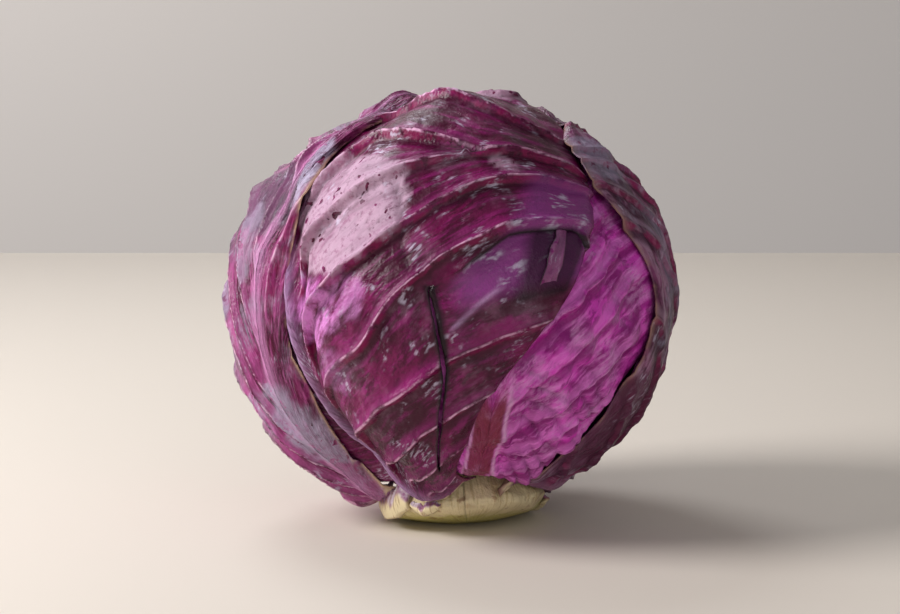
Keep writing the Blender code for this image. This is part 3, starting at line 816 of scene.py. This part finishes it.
    def press_down(self, hold, tip):
        """Brings the margins, and a share of the tip, down on to the leaves that are in place."""
        rows, columns = self.x.shape
        low_rows, low_columns = coarse_lines(rows), coarse_lines(columns)
        room = np.zeros((len(low_rows), len(low_columns)))
        for i, row in enumerate(low_rows):
            for j, column in enumerate(low_columns):
                ray = Vector(self.directions[row, column])
                hits = [tree.ray_cast(PROBE_FROM * ray, -ray, PROBE_REACH)[3] for tree in self.laid]
                nearest = min([hit for hit in hits if hit is not None], default=PROBE_REACH)
                room[i, j] = self.base[row, column] - (PROBE_FROM - nearest) - LEAST_GAP
        for _ in range(2):
            room = np.min(neighbours(room), axis=0)
        for _ in range(3):
            room = np.mean(neighbours(room), axis=0)
        reach = np.exp(-((self.from_margin / 0.010) ** 2))
        reach = hold * reach * (0.85 + 0.15 * swells(self.x, self.y, 0.02, self.lie.seed))
        reach = np.maximum(reach, tip * smooth((self.row - 0.60) / 0.10))
        self.base = self.base - reach * np.maximum(stretch_to(room, rows, columns), 0.0)

    def close(self, tear=None):
        """Vertices and faces of the closed blade. A tear parts one column between two rows."""
        rows, columns = self.x.shape
        outer = self.directions * (self.base + self.height)[..., None]
        inner = self.directions * (self.base + self.height - self.thickness)[..., None]
        sheets = [outer.reshape(-1, 3), inner.reshape(-1, 3)]
        marks = {name: values.reshape(rows * columns, -1) for name, values in self.marks.items()}
        number = np.arange(rows * columns).reshape(rows, columns)
        right_of = {}
        if tear:
            column, first, last, widths, lips = tear
            side = np.cross(self.directions[first:last, column], self.lie.up)
            side /= np.linalg.norm(side, axis=1)[:, None]
            extra = rows * columns
            spots = number[first:last, column]
            for sheet, face in enumerate((outer, inner)):
                middle = face[first:last, column]
                lift = self.directions[first:last, column]
                right = middle - side * widths[:, None] + lift * lips[1][:, None]
                left = middle + side * widths[:, None] + lift * lips[0][:, None]
                sheets[sheet][spots] = left
                sheets[sheet] = np.vstack([sheets[sheet], right])
            marks = {name: np.vstack([values, values[spots]]) for name, values in marks.items()}
            right_of = {first + k: extra + k for k in range(last - first)}
        faces = []
        for j in range(columns - 1):
            for i in range(rows - 1):
                a, b = number[i, j], number[i, j + 1]
                c, d = number[i + 1, j + 1], number[i + 1, j]
                if tear and j == column:
                    a, d = right_of.get(i, a), right_of.get(i + 1, d)
                faces.append((int(a), int(b), int(c), int(d)))
        marks = {name: np.vstack([values, values]) for name, values in marks.items()}
        return to_world(np.vstack(sheets)), close_sheet(faces, len(sheets[0])), marks


def even_veins(seed, count=VEINS):
    """Side veins at nearly even heights, for the right and the left of the midrib."""
    chance = np.random.default_rng(seed)
    sides = []
    for shift in (0.0, 0.5):
        starts = (np.arange(count + 1) + shift + chance.uniform(-0.12, 0.12, count + 1)) / count
        sides.append(list(zip(starts, chance.uniform(-0.015, 0.035, count + 1))))
    return sides


def crumple_tree():
    """Geometry nodes that work small wrinkles into a blade, and give it its material."""
    tree = bpy.data.node_groups.new("crumple", "GeometryNodeTree")
    sockets = (("Geometry", "Geometry"), ("Depth", "Float"), ("Size", "Float"), ("Material", "Material"))
    for name, kind in sockets:
        tree.interface.new_socket(name, in_out="INPUT", socket_type="NodeSocket" + kind)
    tree.interface.new_socket("Geometry", in_out="OUTPUT", socket_type="NodeSocketGeometry")

    def add(kind, operation=None, **inputs):
        node = tree.nodes.new(kind)
        if operation:
            node.operation = operation
        for socket, value in inputs.items():
            socket = node.inputs[int(socket[1:]) if socket[0] == "_" else socket]
            if isinstance(value, bpy.types.NodeSocket):
                tree.links.new(value, socket)
            else:
                socket.default_value = value
        return node

    given = add("NodeGroupInput").outputs
    result = add("NodeGroupOutput")
    place = add("GeometryNodeInputPosition").outputs["Position"]
    normal = add("GeometryNodeInputNormal").outputs["Normal"]
    finer = add("ShaderNodeMath", "DIVIDE", _0=1.0, _1=given["Size"]).outputs[0]
    noise = add("ShaderNodeTexNoise", Detail=2.0, Vector=place, Scale=finer).outputs["Fac"]
    centred = add("ShaderNodeMath", "SUBTRACT", _0=noise, _1=0.5).outputs[0]
    depth = add("ShaderNodeMath", "MULTIPLY", _0=centred, _1=given["Depth"]).outputs[0]
    push = add("ShaderNodeVectorMath", "SCALE", _0=normal, Scale=depth).outputs[0]
    move = add("GeometryNodeSetPosition", Geometry=given["Geometry"], Offset=push)
    real = add("GeometryNodeRealizeInstances", Geometry=move.outputs["Geometry"])
    paint = add("GeometryNodeSetMaterial", Geometry=real.outputs["Geometry"], Material=given["Material"])
    tree.links.new(paint.outputs["Geometry"], result.inputs["Geometry"])
    return tree


def run_tree(piece, tree, inputs):
    """Runs a piece through geometry nodes, and keeps the result as its plain mesh."""
    modifier = piece.modifiers.new(tree.name, "NODES")
    modifier.node_group = tree
    sockets = {item.name: item.identifier for item in tree.interface.items_tree if item.in_out == "INPUT"}
    for name, value in inputs.items():
        modifier[sockets[name]] = value
    depsgraph = bpy.context.evaluated_depsgraph_get()
    mesh = bpy.data.meshes.new_from_object(piece.evaluated_get(depsgraph))
    piece.modifiers.remove(modifier)
    mesh.name = piece.name
    piece.data = mesh


CRUMPLE = crumple_tree()


def leaf_finish(name, roughness, haze, frost, line, **colours):
    """Waxy leaf skin: streaked along its veins, pale on them with a painted highlight on their lit side,
    painted shade under them, and bloom, painted highlights and painted glints over it.
    """
    paint = dict(rim=tone(176, 130, 120), foot=tone(150, 90, 130), strip=tone(120, 40, 66))
    paint.update(young=tone(112, 46, 116), bloom=tone(196, 162, 186), ridge=tone(190, 150, 196))
    paint.update(flush=tone(136, 8, 78), blush=tone(200, 112, 192), cream=STEM_CREAM)
    paint.update(stain=tone(24, 6, 16), scuff=tone(206, 196, 220))
    paint.update(colours)
    skin = Finish(name, roughness, Specular_IOR_Level=0.27)
    ramp, noise, product, scale = skin.ramp, skin.noise, skin.product, skin.scale
    lay = skin.vector("lay")
    side, veined, foot, young = map(skin.mark, ("from_vein", "veined", "foot", "young"))

    def along(size, detail, roughness, squeeze):
        """Noise that is drawn out along the side veins."""
        return noise(size, detail, roughness, (1.0, squeeze, 1.0), lay)

    def band(start, full, last, end):
        """1 from full to last, measured up from the nearest vein, and 0 outside start and end."""
        return product(ramp(side, start, full), ramp(side, end, last), veined)

    streaks = along(0.0026, 4.0, 0.6, 0.22)
    mottle = ramp(along(0.0034, 4.0, 0.7, 0.6), 0.50, 0.62)
    broken = ramp(noise(0.0050, 4.0, 0.65), 0.38, 0.60)
    soft = scale(ramp(along(0.0022, 3.0, 0.6, 0.2), 0.30, 0.60), 0.5)
    cloud = ramp(noise(0.014, 4.0, 0.6), 0.48, 0.66)
    grain = ramp(along(0.0018, 3.0, 0.7, 0.4), 0.36, 0.62)
    veil = scale(product(cloud, grain, skin.math("SUBTRACT", 1.0, young)), haze)
    # Painted glints: small pale lavender flecks stand in for reflections of the light on the crinkles.
    flecks = ramp(along(0.0013, 3.0, 0.6, 0.45), 0.48, 0.66)
    flecks = product(flecks, ramp(noise(0.0090, 3.0), 0.53, 0.66))
    freckles = ramp(noise(0.0030, 1.5), 0.68, 0.64)
    thin = ramp(noise(0.0022, 4.0, 0.7), 0.30, 0.52)
    worn = ramp(along(0.0060, 4.0, 0.7, 0.3), 0.26, 0.56)
    thin = skin.math("ADD", scale(product(thin, worn), 0.60), 0.40)
    # Bloom, with painted highlights, over the skin; it also makes the surface rougher.
    wax = skin.math("MAXIMUM", veil, product(skin.mark("bloom"), freckles, thin))
    layers = [
        (scale(ramp(streaks, 0.46, 0.64), 0.60), "bright"),
        (scale(mottle, 0.80), "dark"),
        # Painted light and shade of the ribs: a lighter band on the lit slope above each vein, and painted
        # shade in a dark band under it.
        (scale(band(0.0004, 0.0012, 0.0020, 0.0050), 0.45), "bright"),
        (scale(band(-0.0060, -0.0032, -0.0018, -0.0010), 0.90), "dark"),
        (scale(product(band(-0.0026, -0.0014, -0.0006, 0.0002), broken), 0.75), "flush"),
        # The pale line on each vein is partly the vein's own paler colour and partly a painted highlight on
        # its lit crest.
        (scale(product(band(-0.0005, 0.0, 0.0002, 0.0008), broken), line), "vein"),
        # Violet skin on the front leaf's lower lip, darker grey patches on the left leaf, and painted shade
        # on the lower right leaf, which is turned from the light.
        (scale(young, 0.75), "young"),
        (product(skin.mark("blush"), ramp(along(0.0026, 4.0, 0.7, 0.4), 0.30, 0.66)), "blush"),
        (scale(skin.mark("strip"), 0.90), "strip"),
        (product(skin.mark("rib"), skin.math("ADD", soft, 0.4)), "ridge"),
        (wax, "bloom"),
        (scale(flecks, frost), "scuff"),
        (scale(foot, 0.35), "foot"),
        (scale(product(ramp(foot, 0.90, 0.97), ramp(noise(0.004, 3.0), 0.40, 0.52)), 0.8), "cream"),
        (product(skin.mark("edge"), ramp(noise(0.009, 3.0), 0.36, 0.56)), "rim"),
        # Painted shade: near black in the tears, under the hanging strip, in creases and in darker spots.
        (skin.mark("torn"), "stain"),
    ]
    colour = skin.blend(ramp(noise(0.016, 4.0), 0.43, 0.61), paint["dark"], paint["mid"])
    for amount, over in layers:
        colour = skin.blend(amount, colour, paint[over])
    skin.colour(colour)
    rough = skin.math("ADD", scale(ramp(noise(0.005, 3.0), 0.30, 0.70), 0.26), roughness - 0.13)
    skin.gloss(skin.math("ADD", rough, scale(wax, 0.40)))
    grooves = skin.math("ADD", scale(streaks, 0.6), scale(ramp(skin.cells(0.0058, lay), 0.02, 0.16), 0.10))
    skin.bump(skin.math("ADD", grooves, scale(noise(0.0011, 3.0), 0.30)), 0.0008)
    return skin.material


def patches(blade, spots):
    """Soft oval marks for bloom, painted highlights, painted shade and other colour: at (x, y), this long
    and wide, in millimetres on the flat leaf.
    """
    total = np.zeros_like(blade.x)
    for x, y, wide, tall, turn, strength in spots:
        dx, dy = blade.x * 1000.0 - x, blade.y * 1000.0 - y
        along = dx * cos(radians(turn)) + dy * sin(radians(turn))
        over = dy * cos(radians(turn)) - dx * sin(radians(turn))
        ragged = 0.25 * swells(blade.x, blade.y, 0.006, 41) + 0.12 * swells(blade.x, blade.y, 0.002, 42)
        oval = np.sqrt((along / wide) ** 2 + (over / tall) ** 2) + ragged
        total = np.maximum(total, strength * smooth((1.15 - oval) / 0.3))
    return total


def outlined_patch(blade, corners, seed):
    """A bloom mark with a ragged outline, given by its corners in millimetres on the flat leaf."""
    ragged = 0.0012 * swells(blade.x, blade.y, 0.005, seed)
    ragged = ragged + 0.0008 * swells(blade.x, blade.y, 0.0018, seed + 1)
    inside = inside_outline(0.001 * np.array(corners, dtype=float), blade.x, blade.y)
    return smooth(0.5 + (inside + ragged) / 0.0016)


def drawn_line(blade, corners, half):
    """A mark along a line, given by its corners in millimetres on the flat leaf."""
    nearest = np.full_like(blade.x, 1000.0)
    for (x, y), (next_x, next_y) in zip(corners, corners[1:]):
        dx, dy = blade.x * 1000.0 - x, blade.y * 1000.0 - y
        step_x, step_y = next_x - x, next_y - y
        along = np.clip((dx * step_x + dy * step_y) / (step_x**2 + step_y**2), 0.0, 1.0)
        nearest = np.minimum(nearest, np.hypot(dx - along * step_x, dy - along * step_y))
    return np.exp(-((nearest / half) ** 2))


def finish_leaf(name, node, blade, material, tear=None, wrinkle=0.0007, hold=0.9, tip=0.0):
    if blade.laid:
        blade.press_down(hold, tip)
    points, faces, marks = blade.close(tear)
    turned = (points - np.array(HEAD_TO_WORLD)[:3, 3]) @ np.array(HEAD_TO_WORLD)[:3, :3]
    blade.laid.append(BVHTree.FromPolygons(turned.tolist(), faces))
    piece = add_piece(name, points, faces, marks, material)
    run_tree(piece, CRUMPLE, {"Depth": wrinkle, "Size": WRINKLE_SIZE, "Material": material})
    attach(piece, "root")
    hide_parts(node)
    return piece


INNER_SKIN = leaf_finish(
    "inner_leaf_skin",
    roughness=0.42,
    haze=0.50,
    frost=0.15,
    line=0.35,
    dark=tone(142, 26, 120),
    mid=tone(222, 66, 196),
    bright=tone(242, 132, 226),
    vein=tone(238, 160, 226),
    flush=tone(170, 24, 140),
    ridge=tone(226, 170, 214),
    bloom=tone(228, 164, 220),
    foot=tone(180, 110, 156),
    rim=tone(160, 80, 130),
    strip=tone(128, 44, 62),
)
for name, node, rows, columns in (
    ("right_inner_leaf", "leaf_right_inner", 150, 120),
    ("left_inner_leaf", "leaf_left_inner", 150, 120),
    ("front_inner_leaf", "leaf_front_inner", 230, 180),
):
    blade = Blade(node, rows, columns)
    veins = even_veins(blade.lie.seed)
    blade.grow(veins, vein_rise=0.0010, step=0.0024, crinkle=0.0030, net_rise=0.0004, lift=0.0005)
    if name == "front_inner_leaf":
        flat_rib = smooth((0.0062 - np.abs(blade.from_midrib + 0.0004)) / 0.0012)
        low = 1.0 - smooth((blade.row - 0.42) / 0.08)
        lines = np.exp(-(((blade.from_midrib + 0.0066) / 0.0007) ** 2))
        lines = lines + np.exp(-(((blade.from_midrib - 0.0062) / 0.0008) ** 2))
        from_foot = np.hypot(blade.x - blade.lie.foot_x, blade.y - blade.lie.foot_y)
        fold = (from_foot + 0.0040 * swells(blade.x, blade.y, 0.016, 71)) / 0.0062
        fold = np.exp(-((np.abs(fold - np.floor(fold) - 0.5) / 0.11) ** 2))
        fold = fold * smooth((from_foot - 0.012) / 0.01) * (1.0 - smooth((from_foot - 0.058) / 0.02))
        fold = fold * smooth((blade.from_midrib - 0.008) / 0.006)
        fold = fold * (0.6 + 0.4 * swells(blade.x, blade.y, 0.011, 72))
        blade.height = blade.height - 0.0014 * fold
        # Painted shade in the folds of the inner leaf.
        blade.marks["torn"] = 0.45 * fold
        blade.marks["strip"] = flat_rib * low
        blade.marks["rib"] = np.clip(lines, 0.0, 1.0) * low
        blade.marks["veined"] = blade.marks["veined"] * (1.0 - 0.9 * flat_rib)
    finish_leaf(name, node, blade, INNER_SKIN, wrinkle=0.0009)

# ---- the front leaf ----
# The big wrapper leaf that faces the front. It is wine red and waxy, with strong raised ribs and a
# patch of pale bloom at its upper left. A long dry tear runs up it, and another comes in from its
# right margin, where the upper lip stands up and a narrow strip hangs down over the violet lower one.
# The tears, a crease, the skin under the strip and some darker spots are painted near black as shade.

TEAR_ACROSS = 0.75
LIP = 0.503  # how far up the leaf the side tear is
FRONT_LEAN = (0.05, 0.35)
FRONT_VEINS = [  # (height up the leaf, further turn towards the margin), from the foot up
    (0.07, 0.0),
    (0.15, 0.01),
    (0.225, 0.02),
    (0.315, 0.02),
    (0.412, 0.07),
    (0.510, 0.05),
    (0.605, 0.0),
    (0.695, -0.11),
    (0.79, -0.10),
    (0.88, -0.05),
]
FRONT_RIDGE = (  # (how far up the leaf, how far from its middle), in millimetres
    [-97, -80, -61, -38, -15, 3, 24, 50],
    [-2.0, -5.0, -3.5, -2.5, -0.3, -0.5, -5.0, -6.0],
)
FRONT_BLOOM = [  # corners of the pale patch, in millimetres on the flat leaf
    (5, 34), (13, 37), (41, 31), (46, 27), (50, 12), (47, 6), (30, -9), (13, -8), (3, 3), (3, 25),
]
LIP_LINE = ([0.78, 0.80, 0.84, 0.87, 0.97, 0.99, 1.0], [0.485, 0.487, 0.503, 0.52, 0.52, 0.50, 0.49])
LONG_TEAR_LINE = ([0.1, 0.175, 0.27, 0.352, 0.425, 0.49, 0.6], [0.0, 0.03, 0.06, 0.02, -0.03, -0.06, 0.0])
LONG_TEAR_ENDS = (0.185, 0.485)  # how far up the leaf


def lip_height(q):
    """Where the side tear runs, up the leaf."""
    return np.interp(q, *LIP_LINE)


def front_bend(row, across):
    """The rows follow the side tear, and the columns wander where the long tear does."""
    wander = np.interp(row, *LONG_TEAR_LINE)
    near = np.clip(1.0 - np.abs(across - TEAR_ACROSS) / 0.25, 0.0, 1.0)
    q = across[0]
    above = int(np.argmax(row > LIP))
    middle = (row[above - 1] + row[above]) / 2
    in_lip = smooth((q - 0.70) / 0.07)
    close = np.clip(1.0 - np.abs(row - middle) / 0.07, 0.0, 1.0)
    moved = row + (lip_height(q) - middle) * close * in_lip
    tight = 0.85 * in_lip * (row[above] - row[above - 1]) / 2
    moved[above - 1] += tight
    moved[above] -= tight
    return moved, across + wander * near


front = Blade("leaf_front", 240, 190, front_bend, lean=FRONT_LEAN)
front.grow(
    (FRONT_VEINS, even_veins(4)[1]),
    vein_rise=0.0019,
    step=0.0026,
    crinkle=0.0011,
    net_rise=0.0003,
    lift=0.0006,
    left_veins=0.15,
)
row, q = front.row, front.across
torn_in = smooth((q - 0.775) / 0.05)
above_lip = row > lip_height(q)
from_lip = np.abs(row - lip_height(q))
rise = 0.0013 * np.exp(-from_lip / 0.035) * above_lip - 0.0009 * np.exp(-from_lip / 0.05) * ~above_lip
front.height = front.height + torn_in * rise
tear_column = int(np.argmin(np.abs(front.across[0] - TEAR_ACROSS)))
tear_first, tear_last = [int(np.argmin(np.abs(row[:, tear_column] - end))) for end in LONG_TEAR_ENDS]
along_tear = np.linspace(0.0, 1.0, tear_last - tear_first)
tear_widths = 0.0004 * np.sin(pi * along_tear) ** 0.6 * (1.0 + 0.35 * np.sin(23 * along_tear)) + 0.0001
tear_lips = (0.0009 * np.sin(pi * along_tear), 0.0001 * np.sin(pi * along_tear))
# Painted shade: the side tear and the long tear are coloured near black, as their shadowed gaps with their
# lips.
torn = np.exp(-((from_lip / 0.0030) ** 2)) * torn_in * np.where(above_lip, 0.8, 1.0)
torn[tear_first:tear_last, tear_column] = 1.0
torn[tear_first:tear_last, tear_column + 1] = 0.95
torn[tear_first:tear_last, tear_column - 1] = 0.6
hang = smooth((q - 0.89) / 0.02) * (1.0 - smooth((q - 0.985) / 0.01))
under_strip = hang * smooth((row - 0.42) / 0.01) * ~above_lip * smooth((0.53 - row) / 0.01)
fold = drawn_line(front, [(43, 22), (48, 11), (49, 0), (52, -8)], 0.9)
front.height = front.height - 0.0007 * fold
shaded_spots = patches(
    front,
    [(76, -46, 12, 12, 0, 0.28), (74, 21, 10, 7, 0, 0.30), (52, 34, 8, 8, 0, 0.18)],
)
# Painted shade gathers here: the tears, the skin under the hanging strip, the fold line and the darker
# spots.
front.marks["torn"] = np.maximum.reduce([torn, 0.75 * under_strip, 0.5 * fold, shaded_spots])
corner = smooth((q - 0.84) / 0.05) * smooth((row - 0.50) / 0.02) * smooth((0.63 - row) / 0.03)
front.marks["young"] = np.maximum(torn_in * smooth((row - 0.425) / 0.03) * ~above_lip, 0.9 * corner)
# Real bloom in the outlined patch; the two small ovals are painted highlights, where the light reflects at
# the top and at the upper right.
front.marks["bloom"] = np.maximum(
    0.9 * outlined_patch(front, FRONT_BLOOM, 51),
    patches(front, [(28, 98, 22, 9, 15, 0.6), (74, 38, 6, 3, -20, 0.45)]),
)
front.marks["blush"] = patches(
    front,
    [(13, -21, 12, 13, 0, 1.0), (30, -18, 8, 8, 0, 0.6), (20, -40, 7, 9, 0, 0.35)],
)
ridge_half = 0.0019 + 0.0040 * (1.0 - smooth(row / 0.35))
ridge_place = 0.001 * np.interp(front.y * 1000.0, *FRONT_RIDGE)
front.marks["rib"] = np.exp(-(((front.from_midrib - ridge_place) / ridge_half) ** 2)) * smooth(row / 0.05)
front.height = front.height + 0.0022 * front.marks["rib"] * smooth(row / 0.2)
twig = drawn_line(front, [(65, -28), (73, -20), (80, -13)], 0.8)
front.marks["rib"] = np.maximum(front.marks["rib"], 0.8 * twig)
front.height = front.height + 0.0005 * twig
crown_fold = 0.0040 * np.exp(-(((front.x - 0.046) / 0.030) ** 2) - ((front.y - 0.100) / 0.026) ** 2)
front.height = front.height + crown_fold
front.thickness = front.thickness + crown_fold
FRONT_SKIN = leaf_finish(
    "front_leaf_skin",
    roughness=0.36,
    haze=0.14,
    frost=0.70,
    line=0.95,
    dark=tone(66, 4, 38),
    mid=tone(108, 9, 70),
    bright=tone(144, 32, 110),
    vein=tone(232, 176, 212),
    blush=tone(222, 140, 214),
    young=tone(144, 62, 140),
    rim=tone(110, 50, 76),
)
finish_leaf(
    "front_leaf",
    "leaf_front",
    front,
    FRONT_SKIN,
    tear=(tear_column, tear_first, tear_last, tear_widths, tear_lips),
)

# the strip that hangs from the upper lip of the side tear
strip_rows = np.flatnonzero((row[:, -12] > 0.428) & (row[:, -12] < 0.524))
strip_columns = np.flatnonzero((front.across[0] > 0.914) & (front.across[0] < 0.984))
grid = np.ix_(strip_rows, strip_columns)
STRIP_ROWS = 61
STRIP_COLUMNS = 21
STRIP_THICKNESS = 0.0006
fine_rows = np.linspace(0.0, len(strip_rows) - 1.0, STRIP_ROWS)
fine_columns = np.linspace(0.0, len(strip_columns) - 1.0, STRIP_COLUMNS)


def finer(values):
    tall = np.stack([np.interp(fine_rows, range(len(values)), column) for column in values.T], axis=1)
    return np.stack([np.interp(fine_columns, range(values.shape[1]), line) for line in tall])


strip_radius = finer((front.base + front.height)[grid])
strip_facing = np.stack([finer(front.directions[..., k][grid]) for k in range(3)], axis=-1)
strip_side, strip_fall = np.meshgrid(
    np.linspace(-1.0, 1.0, STRIP_COLUMNS),
    np.linspace(1.0, 0.0, STRIP_ROWS),
)
strip_width = 0.36 + 0.24 * strip_fall + 0.16 * swells(5 * strip_fall, np.sign(strip_side), 0.7, 62)
half_way = STRIP_COLUMNS // 2
middle = strip_facing[:, half_way : half_way + 1]
strip_facing = middle + (strip_facing - middle) * strip_width[..., None]
strip_radius = np.minimum(strip_radius, strip_radius[STRIP_ROWS // 2].mean() + STRIP_THICKNESS) + 0.0007
strip_radius = strip_radius + 0.0006 * np.abs(strip_side) ** 2 * strip_fall
strip_radius = strip_radius - 0.0020 * smooth((strip_fall - 0.7) / 0.3)
strip_radius = strip_radius + 0.00035 * swells(strip_side, 6 * strip_fall, 0.6, 61)
points, faces = slab(
    to_world(strip_facing * strip_radius[..., None]),
    to_world(strip_facing * (strip_radius - STRIP_THICKNESS)[..., None]),
)
strip_edge = np.maximum(np.abs(strip_side) ** 12, (strip_fall > 0.97) * 1.0)
strip_lay = np.stack([0.004 * strip_side, 0.02 * strip_fall, 0 * strip_edge], axis=-1)
marks = dict(
    lay=np.tile(strip_lay.reshape(-1, 3), (2, 1)),
    young=np.full(2 * strip_edge.size, 0.5),
    bloom=np.full(2 * strip_edge.size, 0.2),
    # The strip's edges are painted near black with the same painted shade as the tears.
    torn=np.tile(0.9 * strip_edge.ravel(), 2),
    from_vein=np.full(2 * strip_edge.size, 0.01),
)
strip = add_piece("front_leaf_strip", points, faces, marks, FRONT_SKIN)
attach(strip, "root")

# ---- the back leaf ----
# The wrapper leaf that closes the back of the head. It is as old as the front one, and whole.

back = Blade("leaf_back", 190, 146)
back.grow(even_veins(5), vein_rise=0.0012, step=0.0018, crinkle=0.0012, net_rise=0.0003, lift=0.0005)
back.marks["bloom"] = patches(back, [(-25, 20, 16, 22, 30, 0.6), (30, -10, 12, 20, -20, 0.5)])
BACK_SKIN = leaf_finish(
    "back_leaf_skin",
    roughness=0.38,
    haze=0.5,
    frost=0.5,
    line=0.6,
    dark=tone(66, 14, 44),
    mid=tone(108, 30, 78),
    bright=tone(146, 50, 114),
    vein=tone(194, 122, 170),
    bloom=tone(180, 158, 184),
)
finish_leaf("back_leaf", "leaf_back", back, BACK_SKIN)

# ---- the outer leaves ----
# The two oldest leaves left on the head, one from each side. They are greyer with bloom, their veins
# are stout, and their margins have dried to a thin tan line. The right one's curls off what is under it.

LEFT_PULL = (
    1.0,
    -0.030,
    0.030,
    [-97, -85, -68, -55, -43, -22, -10, 2, 10, 18, 29, 48],
    [-6.0, -8.0, -7.0, -7.5, -7.0, -5.5, -5.5, -5.5, -3.0, -0.6, 3.0, 5.0],
)
RIGHT_PULL = (
    -1.0,
    0.030,
    0.045,
    [-114, -94, -80, -65, -49, -31, -13, 8, 25, 39, 52, 62, 68, 76],
    [9.0, 9.0, 6.0, 2.0, 3.0, 6.5, 4.5, 3.8, 1.5, 0.0, -4.0, -2.0, 4.0, 10.0],
)
LEFT_VEINS = [
    (0.10, 0.0),
    (0.19, 0.0),
    (0.29, 0.0),
    (0.40, 0.0),
    (0.50, 0.02),
    (0.60, 0.02),
    (0.70, 0.0),
    (0.80, -0.02),
    (0.90, -0.02),
]
LEFT_SKIN = leaf_finish(
    "left_leaf_skin",
    roughness=0.38,
    haze=0.50,
    frost=0.5,
    line=0.85,
    dark=tone(74, 6, 44),
    mid=tone(138, 40, 102),
    bright=tone(190, 90, 156),
    vein=tone(240, 190, 220),
    ridge=tone(210, 140, 192),
    bloom=tone(176, 164, 190),
    young=tone(90, 72, 92),
    rim=tone(210, 180, 150),
)
left = Blade("leaf_left", 230, 170, pull=LEFT_PULL, lean=(0.10, 0.5))
left.grow(
    (even_veins(6)[0], LEFT_VEINS),
    vein_rise=0.0016,
    step=0.0022,
    crinkle=0.0009,
    net_rise=0.0003,
    lift=0.0001,
    rib_width=0.6,
)
# Lavender bloom, partly painted highlights on the lit upper-left slopes.
left.marks["bloom"] = patches(
    left,
    [
        (7, 34, 3.5, 15, 0, 0.95),
        (-13, 6, 4, 13, 0, 0.5),
        (-9, -62, 8, 18, 10, 0.85),
        (-40, -10, 9, 24, 0, 0.45),
    ],
)
left.marks["young"] = patches(
    left,
    [(-12, 24, 18, 16, 0, 0.9), (-38, 14, 12, 34, 0, 0.8), (-40, -40, 9, 24, 0, 0.5)],
)
finish_leaf("left_outer_leaf", "leaf_left", left, LEFT_SKIN, hold=0.98)

RIGHT_SKIN = leaf_finish(
    "right_leaf_skin",
    roughness=0.40,
    haze=0.55,
    frost=0.5,
    line=0.3,
    dark=tone(62, 16, 46),
    mid=tone(126, 58, 102),
    bright=tone(172, 136, 162),
    vein=tone(190, 140, 164),
    ridge=tone(170, 120, 150),
    bloom=tone(158, 152, 176),
    young=tone(80, 28, 56),
    rim=tone(150, 116, 106),
)
right = Blade("leaf_right", 230, 170, pull=RIGHT_PULL, short=(0.058, 0.5))
right.grow(even_veins(7), vein_rise=0.0010, step=0.0014, crinkle=0.0014, net_rise=0.0003, lift=0.0020)
# Grey-blue bloom by the upper margin, partly a painted highlight.
right.marks["bloom"] = patches(right, [(-76, 48, 12, 16, 30, 0.55), (-68, 0, 5, 26, 0, 0.35)])
# Painted shade: the lower part of the right leaf, turned from the light, is coloured darker and more
# purple.
right.marks["young"] = patches(right, [(-60, -70, 28, 26, 0, 1.0)])
right.marks["lay"] = right.marks["lay"][..., [1, 0, 2]]
finish_leaf("right_outer_leaf", "leaf_right", right, RIGHT_SKIN, hold=0.35, tip=1.0)
